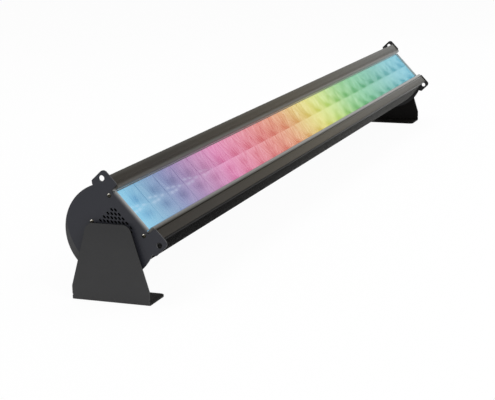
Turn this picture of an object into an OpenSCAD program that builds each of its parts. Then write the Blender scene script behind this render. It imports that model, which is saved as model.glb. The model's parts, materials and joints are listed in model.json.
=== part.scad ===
/* [Light cells] */
// Pitch of the light cells along the head
cell_pitch = 76; // [64:0.5:90]
// Light cells along one reflector tray
tray_cells = 4; // [3:1:5]
// Rows of light cells across the window
cell_rows = 2; // [1:1:4]
// Wall between two light cells at the window
cell_wall = 1.2; // [0.8:0.1:2]
// Depth of a light cell
cell_depth = 10; // [8:0.5:12]
// Side of the square floor of a light cell
cell_floor = 14; // [12:0.5:16]

/* [Window] */
// Half width of the window between the front rails
window_half = 43; // [42:0.1:44]
// Height of the window face above the tilt axis
window_z = 56; // [54:0.5:58]
// Thickness of the window sheet
lens_t = 3; // [2:0.5:4]
// How far the window sheet reaches into each rail
lens_grip = 2.6; // [2:0.1:3]
// Thickness of the seal under the window edge
seal_t = 1.5; // [1:0.1:2]

/* [Front rails] */
// Height of the rail face above the tilt axis
rail_top = 67.4; // [66:0.1:70]
// How far the rails stand out over the shoulders of the housing
rail_over = 1.6; // [1:0.1:3]
// Radius of the bead along the window
bead_r = 4.8; // [4:0.1:5.2]
// Width of the groove beside the bead
groove_w = 1.4; // [1:0.1:2]
// Depth of the groove beside the bead
groove_depth = 2.5; // [1:0.1:3]
// Wall of the hollow rail
rail_wall = 2.4; // [1.6:0.1:2.6]

/* [Housing] */
// Radius of the round flanks of the housing
housing_r = 76; // [75:0.5:79]
// How far the shoulders under the rails lie inside the round flanks
shoulder_in = 7; // [6:0.5:8]
// How far the flat back lies inside the round flanks
back_in = 16; // [13:0.5:17]
// Wall of the housing
housing_wall = 3; // [2:0.25:3.5]
// Height of the cooling ribs
rib_height = 4.5; // [3:0.25:5]
// Thickness of a cooling rib
rib_t = 2.2; // [1.6:0.1:3]
// Pitch of the cooling ribs round the flank
rib_pitch = 5.6; // [4.5:0.1:8]
// Angle below the tilt axis at which the ribs end
rib_end = 38; // [30:1:40]

/* [End plates] */
// Thickness of the end plate sheet
plate_t = 2.5; // [2:0.1:3]
// Radius of the round back of an end plate
plate_r = 84.7; // [82:0.1:88]
// Half width between the inner edges of the ears
ear_in = 48.5; // [47.5:0.1:50]
// Height of the ear tips above the tilt axis
ear_top = 69.3; // [69:0.1:74]
// Height of the undersides of the ears above the tilt axis
ear_low = 37.9; // [36:0.1:40]
// Corner radius of an ear
ear_round = 8; // [5:0.5:9]
// Half distance between the ear holes
ear_hole_half = 74.9; // [74:0.1:76]
// Height of the ear holes above the tilt axis
ear_hole_z = 54.8; // [53:0.1:56]
// Radius of an ear hole
ear_hole_r = 5.2; // [4:0.1:6]
// Outer bend radius of the lip over the window end
lip_bend = 4; // [3.2:0.1:5]
// Depth of the lip from the outer face of the plate
lip_depth = 8; // [6:0.5:12]

/* [Vent] */
// Length of a vent slot
slot_len = 5.5; // [4:0.1:6.5]
// Width of a vent slot
slot_w = 2.5; // [1.5:0.1:3]
// Pitch of the vent slots along a row
slot_pitch = 10; // [9:0.1:11]
// Pitch of the rows of vent slots
row_pitch = 5; // [4.5:0.1:5.2]
// Rows of vent slots
vent_rows = 10; // [6:1:10]
// Height of the top row of slots above the tilt axis
vent_top = 35.5; // [34:0.1:36]

/* [Heat sink core] */
// Thickness of the plate that carries the light boards
core_plate = 4; // [3:0.5:4.5]
// Half width of the air duct inside
duct_half = 26; // [26:0.1:27]
// Height of the air duct inside
duct_h = 51; // [51:0.1:52]
// Wall of the air duct
duct_wall = 2.5; // [2:0.1:3]
// Cooling fins in the air duct
fin_count = 7; // [5:1:9]
// Thickness of a cooling fin
fin_t = 1.6; // [1:0.1:2]
// Height of a cooling fin
fin_h = 34; // [20:1:40]
// Half distance between the front screw channels
front_screw_half = 45.2; // [45:0.1:46]
// Half distance between the rear screw channels
rear_screw_half = 34.3; // [33:0.1:36]
// Outer radius of a screw channel
channel_r = 4; // [3.4:0.1:4]

/* [Feet] */
// Height of the tilt axis above the floor
axis_height = 123; // [118:1:150]
// Tilt of the head away from facing straight up
head_tilt = 47; // [20:1:70]
// Thickness of the foot sheet
foot_t = 3; // [2.5:0.1:4]
// Gap between a foot and its end plate
foot_gap = 6; // [4:0.5:10]
// Half width of a foot at the floor
foot_half = 73; // [65:1:90]
// Height at which the sides of a foot start to taper
foot_kink = 25; // [18:1:40]
// Half width of a foot at its top
foot_top_half = 39.5; // [34:0.5:48]
// Height of a foot above the tilt axis
foot_over = 15.5; // [14:0.5:24]
// Corner radius at the top of a foot
foot_round = 16; // [8:1:20]
// Depth of a foot along the head, with its upright
foot_depth = 66; // [55:1:90]
// Corner radius of the foot flange
flange_round = 18; // [8:1:24]
// Outer bend radius of a foot
foot_bend = 5; // [4.5:0.1:7]
// Radius of the middle hole for a clamp bolt
clamp_hole_r = 6.5; // [5:0.1:8]
// Distance between the two fixing holes of a foot
fix_pitch = 100; // [80:1:110]
// Radius of a fixing hole
fix_hole_r = 4.5; // [3:0.1:5.5]

/* [Tilt pivot] */
// Radius of the pivot stud
stud_r = 5; // [4:0.1:6]
// Running clearance of the stud in its bush
stud_clear = 0.06; // [0.03:0.01:0.09]
// Wall of the bush
bush_wall = 3; // [2:0.1:4]
// Radius of the bush flange and of the friction washer
washer_r = 11; // [10.2:0.1:11.5]
// Thickness of the bush flange
bush_flange = 2; // [1.5:0.1:3]
// Thickness of the disc spring
spring_t = 1.5; // [1:0.1:2]
// Height of the lock nut
nut_h = 8; // [6:0.5:9]

/* [Fans] */
// Side of the square fan frame
fan_size = 50; // [48:0.5:50.4]
// Depth of a fan frame
fan_depth = 15; // [12:0.5:20]
// Distance from the end plate to the fan
fan_inset = 26; // [24:1:30]
// Radius of the air hole of a fan
fan_bore = 23; // [21:0.5:23.5]
// Radius of the rotor hub
hub_r = 9; // [7:0.5:11]
// Blades on a rotor
blade_count = 7; // [5:1:9]

/* [Service panel] */
// Length of the control board
control_len = 132; // [126:1:150]
// Width of the service panel
panel_w = 80; // [76:0.5:84]
// Thickness of the service panel
panel_t = 2; // [1.5:0.1:2.4]
// Distance between the two sockets of a pair
socket_pitch = 36; // [34:0.5:40]
// Room between the control board and the nearest socket body
socket_room = 14.5; // [12:0.5:20]
// Width of a socket flange
socket_w = 26; // [24:0.5:28]
// Length of a socket flange
socket_l = 31; // [29:0.5:33]
// Radius of the round body of a socket
socket_r = 11.5; // [11:0.1:11.8]
// Depth of a socket body behind the panel face
socket_depth = 24; // [20:1:28]
// Radius of a push button
button_r = 3.6; // [3:0.1:4]
// Travel of a push button
button_travel = 0.8; // [0.5:0.1:1]
// Pitch of the push buttons
button_pitch = 12; // [11:0.5:12.5]
// Length of the display window
display_l = 52; // [44:1:54]
// Width of the display window
display_w = 22; // [16:1:26]

/* [Power supplies] */
// Length of a power supply
supply_len = 400; // [300:10:420]
// Half width of a power supply
supply_half = 34; // [28:0.5:35]
// Height of a power supply
supply_h = 30; // [22:0.5:31]

/* [Hidden] */
$fn = 64;
tray_count = 6;
fit = 0.3;
play = 0.4;
sliver = 0.02;
over = 1;
board_t = 1.6;
ledge_t = 1.5;
plate_inner = tray_count * tray_cells * cell_pitch / 2 + play;
half_len = plate_inner + plate_t;
tray_len = tray_cells * cell_pitch;

lens_low = window_z - lens_t;
lens_end = plate_inner - (lip_bend - plate_t) - sliver;
seal_low = lens_low - seal_t;
shoulder_z = seal_low - ledge_t;
tray_top = lens_low - play;
board_top = tray_top - cell_depth;
core_top = board_top - board_t;
duct_top = core_top - core_plate;
duct_low = duct_top - duct_h;
duct_mid = duct_top - duct_h / 2;
front_screw_z = core_top + channel_r - 0.5;
rear_screw_z = duct_low + play;
tray_half = front_screw_half - channel_r - play;
lip_half = window_half - play;
notch_depth = 1.5;

flank_r = (shoulder_in * shoulder_in + shoulder_z * shoulder_z) / (2 * shoulder_in);
back_z = housing_r - back_in;
rail_half = housing_r - shoulder_in + rail_over;
flank_sweep = asin(shoulder_z / flank_r);
flank_len = flank_r * flank_sweep * PI / 180;
cavity_in = rib_height + housing_wall;
rib_gap = rib_pitch - rib_t;
rib_path = flank_len + housing_r * rib_end * PI / 180;
function cavity_half(z) = housing_r - flank_r + sqrt(pow(flank_r - cavity_in, 2) - z * z);
core_half = cavity_half(core_top) - fit;
core_ledge = 3;

screw_r = 2;
screw_head_r = 3.8;
screw_head_h = 2.4;
screw_len = 14;
screw_clear = 0.15;
screw_recess = 1.2;
key_r = 1.3;

foot_out = half_len + foot_gap + foot_t;
bush_r = stud_r + stud_clear + bush_wall;
inner_face = -foot_out + foot_t;
collar_h = 1.5;
collar_r = stud_r + 2;
vent_clear = washer_r + 0.6;
nut_r = stud_r * 1.7;
nut_collar = 2;
nut_collar_r = stud_r * 1.4;
stud_over = 2;
stud_end = bush_flange + fit + spring_t + nut_h + stud_over;

ear_reach = plate_r - ear_round;
front_reach = ear_reach * cos(head_tilt) + (ear_top - ear_round) * sin(head_tilt) + ear_round;
axis_y = (max(front_reach, foot_half) - max(plate_r, foot_half)) / 2;

panel_end = 30;
inner_socket = control_len / 2 + socket_room + socket_r;
outer_socket = inner_socket + socket_pitch;
panel_len = 2 * (outer_socket + panel_end);
panel_out = back_z + panel_t;
board_room = 10;
board_z = back_z - board_room;
switch_h = 4;
switch_side = 6;
button_count = 4;
button_out = 1.5;
button_x0 = 17;
display_x = -24;
display_flange = 2;
display_flange_t = 1.5;
control_w = 62;
opening_in_x = 10;
opening_in_y = 7;
opening_half_x = panel_len / 2 - opening_in_x;
opening_half_y = panel_w / 2 - opening_in_y;
socket_lip = 1.5;
flange_t = 2;
flange_round_r = 2;
socket_well = 13;
power_recess_r = 9;
power_ring_r = 5.6;
data_recess_r = 9.4;
data_ring_r = 5.4;
pin_len = 8;
pin_r = 0.9;
power_pin_count = 3;
data_pin_count = 5;
small_screw_r = 1.5;
small_head_r = 2.6;
small_head_h = 1.4;
small_head_taper = 0.5;
small_recess = 0.8;
small_key_r = 1;
small_screw_in = 3.5;
panel_screw_in = 5;
panel_screw_x = [panel_screw_in - panel_len / 2, 0, panel_len / 2 - panel_screw_in];
panel_screw_y = panel_w / 2 - small_screw_in;
socket_x = [-outer_socket, -inner_socket, inner_socket, outer_socket];
socket_screw_x = socket_w / 2 - small_screw_in;
socket_screw_y = socket_l / 2 - small_screw_in;
supply_gap = 40;
driver_len = 200;
driver_half = 28;
driver_gap = 3;
pocket_room = 24;
pocket_len = fan_inset + fan_depth + pocket_room;
spider_t = 2.5;
axle_r = 1.5;
spoke_count = 3;
fan_x = -plate_inner + fan_inset;
bulkhead_t = 1.5;

// Puts its children in the head's own frame: X along the head, Z out of the window, axis at the origin
module in_head() {
    translate([0, axis_y, axis_height])
        rotate([head_tilt, 0, 0])
            children();
}

// Extrudes a profile drawn in (Y, Z) along X
module along_x(x0, len) {
    translate([x0, 0, 0])
        rotate([90, 0, 90])
            linear_extrude(len)
                children();
}

// A cylinder along X
module rod_x(x0, len, r) {
    translate([x0, 0, 0])
        rotate([0, 90, 0])
            cylinder(h = len, r = r);
}

// Draws its children on the right end too when side is 1, and only on the left when it is -1
module at_end(side) {
    mirror([side > 0 ? 1 : 0, 0, 0])
        children();
}

// The waste outside a round corner at point p, where the corner points along signs
module corner_waste(p, signs, r) {
    translate([p[0] - signs[0] * r, p[1] - signs[1] * r])
        difference() {
            translate([signs[0] > 0 ? 0 : -r - sliver, signs[1] > 0 ? 0 : -r - sliver])
                square(r + sliver);
            circle(r);
        }
}

// A rectangle round its own middle with round corners
module round_rect(w, h, r) {
    square([w - 2 * r, h], center = true);
    square([w, h - 2 * r], center = true);
    for (sx = [-1, 1], sy = [-1, 1])
        translate([sx * (w / 2 - r), sy * (h / 2 - r)])
            circle(r);
}

// The housing's outline in (Y, Z), moved in by inset on its flanks and by back_inset at its back
module housing_outline(inset, back_inset) {
    big = 2 * housing_r;
    intersection() {
        translate([housing_r - flank_r, 0])
            circle(flank_r - inset, $fn = 360);
        translate([flank_r - housing_r, 0])
            circle(flank_r - inset, $fn = 360);
        translate([-big, 0])
            square([2 * big, shoulder_z]);
    }
    intersection() {
        circle(housing_r - inset, $fn = 180);
        translate([-big, -back_z + back_inset])
            square([2 * big, back_z - back_inset + sliver]);
    }
}

// The groove between two cooling ribs, with its middle at distance s along the flank from the shoulder
module rib_groove(s) {
    on_flank = s < flank_len;
    angle = on_flank ? (flank_len - s) / flank_r * 180 / PI : -(s - flank_len) / housing_r * 180 / PI;
    translate([on_flank ? housing_r - flank_r : 0, 0])
        rotate(angle)
            translate([(on_flank ? flank_r : housing_r) - rib_height, -rib_gap / 2])
                square([rib_height + over, rib_gap]);
}

// The room inside the housing, with the two ledges that the heat sink core rests on left out of it
module housing_cavity() {
    ledge_in = cavity_half(duct_top) - core_ledge;
    difference() {
        housing_outline(cavity_in, housing_wall);
        for (s = [-1, 1])
            translate([s * (ledge_in + core_ledge) - core_ledge, duct_top - ledge_t])
                square([2 * core_ledge, ledge_t]);
    }
}

module housing_profile() {
    difference() {
        housing_outline(0, 0);
        housing_cavity();
        for (side = [0, 1], s = [rib_t + rib_gap / 2 : rib_pitch : rib_path])
            mirror([side, 0])
                rib_groove(s);
    }
}

module housing() {
    color([0.10, 0.10, 0.10])
        in_head()
            difference() {
                along_x(-plate_inner, 2 * plate_inner)
                    housing_profile();
                translate([-opening_half_x, -opening_half_y, -back_z - over])
                    cube([2 * opening_half_x, 2 * opening_half_y, housing_wall + 2 * over]);
            }
}

module rail_profile() {
    box_in = window_half + 2 * bead_r;
    bead_cut = 0.4;
    slot_wall = 2.2;
    hollow_in = box_in + groove_w + slot_wall;
    hollow_low = shoulder_z + ledge_t + over;
    tongue_h = 4;
    side_line_w = 1.3;
    side_line_pitch = 4.2;
    side_line_depth = 1;
    edge_r = 1.6;
    difference() {
        union() {
            translate([window_half + bead_r, rail_top - bead_r])
                circle(bead_r);
            translate([window_half, shoulder_z])
                square([2 * bead_r, rail_top - bead_r - shoulder_z]);
            translate([box_in - sliver, shoulder_z])
                square([rail_half - box_in + sliver, rail_top - shoulder_z]);
            translate([cavity_half(shoulder_z) - fit - rail_wall, shoulder_z - tongue_h])
                square([rail_wall, tongue_h + sliver]);
        }
        translate([window_half - over, seal_low])
            square([over + lens_grip + fit, window_z - seal_low]);
        translate([box_in - bead_cut, rail_top - groove_depth])
            square([groove_w + bead_cut, groove_depth + over]);
        translate([hollow_in, hollow_low])
            square([rail_half - side_line_depth - rail_wall - hollow_in, rail_top - rail_wall - hollow_low]);
        for (k = [1, 2])
            translate([rail_half - side_line_depth, rail_top - side_line_pitch * k])
                square([side_line_depth + over, side_line_w]);
        corner_waste([rail_half, rail_top], [1, 1], edge_r);
    }
}

module rail(side) {
    color([0.36, 0.35, 0.33])
        in_head()
            mirror([0, side < 0 ? 1 : 0, 0])
                along_x(-plate_inner, 2 * plate_inner)
                    rail_profile();
}

module rail_lower() { rail(-1); }
module rail_upper() { rail(1); }

module ear_outline() {
    difference() {
        translate([ear_in, ear_low])
            square([plate_r - ear_in, ear_top - ear_low]);
        corner_waste([plate_r, ear_top], [1, 1], ear_round);
        corner_waste([ear_in, ear_top], [-1, 1], ear_round / 2);
    }
    neck_half = plate_r - 5.5;
    neck_h = 4;
    polygon([[ear_in, ear_low], [plate_r, ear_low], [neck_half, ear_low - neck_h],
        [ear_in, ear_low - neck_h]]);
}

module slot_2d() {
    square([slot_len - slot_w, slot_w], center = true);
    for (s = [-1, 1])
        translate([s * (slot_len - slot_w) / 2, 0])
            circle(slot_w / 2);
}

module vent_field() {
    for (row = [0 : vent_rows - 1]) {
        z = vent_top - row * row_pitch;
        offset_y = row % 2 == 0 ? 0 : slot_pitch / 2;
        count = row % 2 == 0 ? 2 : 3;
        for (k = [-count : row % 2 == 0 ? count : count - 1]) {
            y = k * slot_pitch + offset_y;
            near_y = max(abs(y) - slot_len / 2, 0);
            near_z = max(abs(z) - slot_w / 2, 0);
            if (norm([near_y, near_z]) > vent_clear)
                translate([y, z])
                    slot_2d();
        }
    }
}

module end_plate_outline() {
    notch_z = window_z - notch_depth;
    intersection() {
        circle(plate_r, $fn = 180);
        translate([-plate_r, -plate_r])
            square([2 * plate_r, plate_r + notch_z]);
    }
    translate([-lip_half, 0])
        square([2 * lip_half, window_z + plate_t - lip_bend]);
    for (side = [0, 1])
        mirror([side, 0])
            ear_outline();
}

module end_plate_blank() {
    lip_top = window_z + plate_t;
    along_x(-half_len, plate_t)
        end_plate_outline();
    translate([-half_len, lip_half, 0])
        rotate([90, 0, 0])
            linear_extrude(2 * lip_half) {
                difference() {
                    translate([lip_bend, lip_top - lip_bend])
                        circle(lip_bend);
                    translate([lip_bend, lip_top - lip_bend])
                        circle(lip_bend - plate_t);
                    translate([lip_bend, 0])
                        square([lip_bend + over, lip_top + over]);
                    translate([-over, 0])
                        square([lip_bend + 2 * over, lip_top - lip_bend]);
                }
                translate([lip_bend - sliver, window_z])
                    square([lip_depth - lip_bend + sliver, plate_t]);
            }
}

module end_plate(side) {
    color([0.24, 0.25, 0.27])
        in_head()
            at_end(side)
                difference() {
                    end_plate_blank();
                    rod_x(-half_len - over, plate_t + 2 * over, bush_r + stud_clear);
                    for (s = [-1, 1]) {
                        translate([0, s * ear_hole_half, ear_hole_z])
                            rod_x(-half_len - over, plate_t + 2 * over, ear_hole_r);
                        translate([0, s * front_screw_half, front_screw_z])
                            rod_x(-half_len - over, plate_t + 2 * over, screw_r + screw_clear);
                        translate([0, s * rear_screw_half, rear_screw_z])
                            rod_x(-half_len - over, plate_t + 2 * over, screw_r + screw_clear);
                    }
                    along_x(-half_len - over, plate_t + 2 * over)
                        vent_field();
                }
}

module end_plate_left() { end_plate(-1); }
module end_plate_right() { end_plate(1); }

// A domed screw along X, with its head's seat at the outer face of the left end plate
module plate_screw() {
    dome_r = (screw_head_r * screw_head_r + screw_head_h * screw_head_h) / (2 * screw_head_h);
    rod_x(-half_len - sliver, screw_len, screw_r);
    difference() {
        intersection() {
            translate([-half_len - screw_head_h + dome_r, 0, 0])
                sphere(dome_r);
            rod_x(-half_len - screw_head_h, screw_head_h, screw_head_r);
        }
        rod_x(-half_len - screw_head_h - over, screw_recess + over, key_r);
    }
}

module end_screws(side) {
    color([0.75, 0.75, 0.74])
        in_head()
            at_end(side)
                for (s = [-1, 1]) {
                    translate([0, s * front_screw_half, front_screw_z])
                        plate_screw();
                    translate([0, s * rear_screw_half, rear_screw_z])
                        plate_screw();
                }
}

module end_screws_left() { end_screws(-1); }
module end_screws_right() { end_screws(1); }

module window_sheet() {
    color([0.75, 0.85, 0.95])
        in_head()
            translate([-lens_end, -window_half - lens_grip, lens_low])
                cube([2 * lens_end, 2 * (window_half + lens_grip), lens_t]);
}

module window_seal(side) {
    color([0.05, 0.05, 0.05])
        in_head()
            mirror([0, side < 0 ? 1 : 0, 0])
                translate([-plate_inner + fit, window_half, seal_low])
                    cube([2 * (plate_inner - fit), lens_grip, seal_t]);
}

module window_seal_lower() { window_seal(-1); }
module window_seal_upper() { window_seal(1); }

// The mouth of a light cell, narrowing from the window to its floor
module cell_pocket(mouth_x, mouth_y) {
    tall = cell_depth + 1;
    grow = 1 + 1 / cell_depth;
    intersection() {
        translate([0, mouth_y, 0])
            rotate([90, 0, 0])
                linear_extrude(2 * mouth_y)
                    polygon([[-cell_floor / 2, -sliver], [cell_floor / 2, -sliver],
                        [mouth_x / 2 * grow, tall], [-mouth_x / 2 * grow, tall]]);
        translate([-mouth_x, 0, 0])
            rotate([90, 0, 90])
                linear_extrude(2 * mouth_x)
                    polygon([[-cell_floor / 2, -sliver], [cell_floor / 2, -sliver],
                        [mouth_y / 2 * grow, tall], [-mouth_y / 2 * grow, tall]]);
    }
}

function tray_x(i) = (i - (tray_count + 1) / 2) * tray_len;
function cell_x(k) = (k - (tray_cells - 1) / 2) * cell_pitch;
function cell_y(j) = (j - (cell_rows - 1) / 2) * 2 * lip_half / cell_rows;

module light_tray(i) {
    flange_h = 3;
    color([0.88, 0.88, 0.90])
        in_head()
            translate([tray_x(i), 0, board_top])
                difference() {
                    union() {
                        translate([-tray_len / 2 + play / 2, -tray_half, 0])
                            cube([tray_len - play, 2 * tray_half, cell_depth]);
                        translate([-tray_len / 2 + play / 2, -lip_half, cell_depth - flange_h])
                            cube([tray_len - play, 2 * lip_half, flange_h]);
                    }
                    for (k = [0 : tray_cells - 1], j = [0 : cell_rows - 1])
                        translate([cell_x(k), cell_y(j), 0])
                            cell_pocket(cell_pitch - cell_wall, 2 * lip_half / cell_rows - cell_wall);
                }
}

module light_tray_1() { light_tray(1); }
module light_tray_2() { light_tray(2); }
module light_tray_3() { light_tray(3); }
module light_tray_4() { light_tray(4); }
module light_tray_5() { light_tray(5); }
module light_tray_6() { light_tray(6); }

// A light board with one emitter package and dome in the middle of each cell
module led_board(i) {
    package = 9;
    package_h = 1;
    dome_r = 3.6;
    dome_sunk = 0.5;
    color([0.92, 0.92, 0.88])
        in_head()
            translate([tray_x(i), 0, core_top]) {
                translate([-tray_len / 2 + play, -tray_half + play, 0])
                    cube([tray_len - 2 * play, 2 * (tray_half - play), board_t]);
                for (k = [0 : tray_cells - 1], j = [0 : cell_rows - 1])
                    translate([cell_x(k), cell_y(j), board_t]) {
                        translate([-package / 2, -package / 2, -sliver])
                            cube([package, package, package_h + sliver]);
                        translate([0, 0, package_h])
                            difference() {
                                sphere(dome_r);
                                translate([-package, -package, -2 * package - dome_sunk])
                                    cube(2 * package);
                            }
                    }
            }
}

module led_board_1() { led_board(1); }
module led_board_2() { led_board(2); }
module led_board_3() { led_board(3); }
module led_board_4() { led_board(4); }
module led_board_5() { led_board(5); }
module led_board_6() { led_board(6); }

module core_profile() {
    difference() {
        union() {
            translate([-core_half, duct_top])
                square([2 * core_half, core_plate]);
            for (s = [-1, 1]) {
                translate([s * (duct_half + duct_wall / 2) - duct_wall / 2, duct_low - duct_wall])
                    square([duct_wall, duct_h + duct_wall + sliver]);
                translate([s * front_screw_half, front_screw_z])
                    circle(channel_r);
                translate([s * rear_screw_half, rear_screw_z])
                    circle(channel_r);
            }
            translate([-rear_screw_half, duct_low - duct_wall])
                square([2 * rear_screw_half, duct_wall]);
        }
        for (s = [-1, 1]) {
            translate([s * front_screw_half, front_screw_z])
                circle(screw_r + screw_clear);
            translate([s * rear_screw_half, rear_screw_z])
                circle(screw_r + screw_clear);
        }
    }
}

module heat_sink_core() {
    fin_pitch = 2 * duct_half / (fin_count + 1);
    color([0.70, 0.71, 0.72])
        in_head() {
            along_x(-plate_inner + fit, 2 * (plate_inner - fit))
                core_profile();
            along_x(-plate_inner + pocket_len, 2 * (plate_inner - pocket_len))
                for (k = [1 : fin_count])
                    translate([k * fin_pitch - duct_half - fin_t / 2, duct_top - fin_h])
                        square([fin_t, fin_h + sliver]);
        }
}

module fan_frame(side) {
    spoke_w = 3;
    frame_round = 3;
    spider_x = fan_x + fan_depth - spider_t;
    color([0.08, 0.08, 0.08])
        in_head()
            at_end(side)
                translate([0, 0, duct_mid]) {
                    difference() {
                        along_x(fan_x, fan_depth)
                            round_rect(fan_size, fan_size, frame_round);
                        rod_x(fan_x - over, fan_depth + 2 * over, fan_bore);
                    }
                    difference() {
                        union() {
                            rod_x(spider_x, spider_t, hub_r + play);
                            for (k = [0 : spoke_count - 1])
                                rotate([30 + k * 360 / spoke_count, 0, 0])
                                    translate([spider_x, 0, -spoke_w / 2])
                                        cube([spider_t, fan_bore + over, spoke_w]);
                        }
                        rod_x(spider_x - over, spider_t + 2 * over, axle_r + stud_clear);
                    }
                }
}

module fan_frame_left() { fan_frame(-1); }
module fan_frame_right() { fan_frame(1); }

module fan_rotor(side) {
    hub_x = fan_x + 1.5;
    hub_len = fan_depth - spider_t - 2;
    blade_depth = hub_len - over;
    blade_angle = 42;
    blade_t = 1.4;
    color([0.12, 0.12, 0.12])
        in_head()
            at_end(side)
                translate([0, 0, duct_mid]) {
                    rod_x(hub_x, hub_len, hub_r);
                    rod_x(hub_x + over, fan_depth - 2 * over - play, axle_r);
                    for (k = [0 : blade_count - 1])
                        rotate([k * 360 / blade_count, 0, 0])
                            translate([hub_x + blade_depth / 2, 0, 0])
                                rotate([0, 0, blade_angle])
                                    translate([-blade_depth / 2, -blade_t / 2, hub_r - over])
                                        cube([blade_depth, blade_t, fan_bore - hub_r]);
                }
}

module fan_rotor_left() { fan_rotor(-1); }
module fan_rotor_right() { fan_rotor(1); }

module fan_bulkhead(side) {
    color([0.60, 0.61, 0.62])
        in_head()
            at_end(side)
                translate([0, 0, duct_mid])
                    difference() {
                        along_x(fan_x + fan_depth, bulkhead_t)
                            square([2 * (duct_half - fit), duct_h - 2 * fit], center = true);
                        rod_x(fan_x, fan_depth + bulkhead_t + over, fan_bore);
                    }
}

module fan_bulkhead_left() { fan_bulkhead(-1); }
module fan_bulkhead_right() { fan_bulkhead(1); }

module power_supply(side) {
    base = -back_z + housing_wall;
    case_t = 1.5;
    board_up = 4;
    board_end = 12;
    terminal_count = 5;
    terminal = [12, 9, 11];
    terminal_pitch = 11;
    terminal_in = 6;
    terminal_up = 3;
    color([0.72, 0.73, 0.74])
        in_head()
            at_end(side)
                translate([-panel_len / 2 - supply_gap - supply_len, 0, base]) {
                    difference() {
                        translate([0, -supply_half, 0])
                            cube([supply_len, 2 * supply_half, supply_h]);
                        translate([case_t, case_t - supply_half, -over])
                            cube([supply_len - 2 * case_t, 2 * (supply_half - case_t),
                                supply_h - case_t + over]);
                    }
                    translate([board_end, -supply_half + case_t / 2, board_up])
                        cube([supply_len - 2 * board_end, 2 * supply_half - case_t, board_t]);
                    for (k = [0 : terminal_count - 1])
                        translate([supply_len - sliver, k * terminal_pitch + terminal_in - supply_half,
                            terminal_up])
                            cube(terminal);
                }
}

module power_supply_left() { power_supply(-1); }
module power_supply_right() { power_supply(1); }

module driver_board(side) {
    board_low = duct_low - duct_wall - driver_gap - board_t;
    x0 = -plate_inner + pocket_len;
    post_r = 2.5;
    post_in = 6;
    coil_r = 7;
    coil_h = 8;
    coil_count = 5;
    coil_y = -9;
    chip = [9, 12, 3];
    chip_count = 8;
    chip_y = 10;
    color([0.10, 0.30, 0.16])
        in_head()
            at_end(side) {
                translate([x0, -driver_half, board_low])
                    cube([driver_len, 2 * driver_half, board_t]);
                for (x = [x0 + post_in, x0 + driver_len - post_in], s = [-1, 1])
                    translate([x, s * (driver_half - post_in), board_low + board_t - sliver])
                        cylinder(h = driver_gap + sliver, r = post_r);
                for (k = [0 : coil_count - 1])
                    translate([x0 + (k + 0.5) * driver_len / coil_count, coil_y, board_low - coil_h])
                        cylinder(h = coil_h + sliver, r = coil_r);
                for (k = [0 : chip_count - 1])
                    translate([x0 + (k + 0.5) * driver_len / chip_count - chip[0] / 2, chip_y,
                        board_low - chip[2]])
                        cube([chip[0], chip[1], chip[2] + sliver]);
            }
}

module driver_board_left() { driver_board(-1); }
module driver_board_right() { driver_board(1); }

function button_x(k) = button_x0 + k * button_pitch;

module control_board() {
    screen_in = 2;
    screen_h = 6;
    chip_side = 14;
    chip_h = 2;
    chip_x = -50;
    chip_y = 12;
    color([0.10, 0.32, 0.18])
        in_head() {
            translate([-control_len / 2, -control_w / 2, -board_z])
                cube([control_len, control_w, board_t]);
            for (k = [0 : button_count - 1])
                translate([button_x(k) - switch_side / 2, -switch_side / 2, -board_z - switch_h])
                    cube([switch_side, switch_side, switch_h + sliver]);
            translate([display_x - display_l / 2 + screen_in, screen_in - display_w / 2,
                -board_z - screen_h])
                cube([display_l - 2 * screen_in, display_w - 2 * screen_in, screen_h + sliver]);
            translate([chip_x, chip_y, -board_z + board_t - sliver])
                cube([chip_side, chip_side, chip_h]);
        }
}

module service_panel() {
    panel_round = 4;
    post_r = 2.5;
    post_in = 5;
    color([0.22, 0.23, 0.25])
        in_head()
            difference() {
                union() {
                    translate([0, 0, -panel_out])
                        linear_extrude(panel_t)
                            round_rect(panel_len, panel_w, panel_round);
                    for (sx = [-1, 1], sy = [-1, 1])
                        translate([sx * (control_len / 2 - post_in), sy * (control_w / 2 - post_in),
                            -back_z - sliver])
                            cylinder(h = back_z - board_z + sliver, r = post_r);
                }
                for (x = socket_x)
                    translate([x, 0, -panel_out - over])
                        cylinder(h = panel_t + 2 * over, r = socket_r + fit);
                for (k = [0 : button_count - 1])
                    translate([button_x(k), 0, -panel_out - over])
                        cylinder(h = panel_t + 2 * over, r = button_r + fit);
                translate([display_x - display_l / 2 - fit, -display_w / 2 - fit, -panel_out - over])
                    cube([display_l + 2 * fit, display_w + 2 * fit, panel_t + 2 * over]);
                for (x = panel_screw_x, s = [-1, 1])
                    translate([x, s * panel_screw_y, -panel_out - over])
                        cylinder(h = panel_t + 2 * over, r = small_screw_r + screw_clear);
            }
}

// A small pan screw along Z, with its head's seat at the origin and its head below it
module small_screw(len) {
    translate([0, 0, -sliver])
        cylinder(h = len + sliver, r = small_screw_r);
    translate([0, 0, -small_head_h])
        difference() {
            cylinder(h = small_head_h, r1 = small_head_r - small_head_taper, r2 = small_head_r);
            translate([0, 0, -sliver])
                cylinder(h = small_recess, r = small_key_r);
        }
}

module panel_screws() {
    color([0.15, 0.15, 0.15])
        in_head()
            for (x = panel_screw_x, s = [-1, 1])
                translate([x, s * panel_screw_y, -panel_out])
                    small_screw(panel_t - sliver);
}

module socket_screws() {
    color([0.15, 0.15, 0.15])
        in_head()
            for (x = socket_x, s = [-1, 1])
                translate([x + s * socket_screw_x, s * socket_screw_y, -panel_out - flange_t])
                    small_screw(flange_t - sliver);
}

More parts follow.
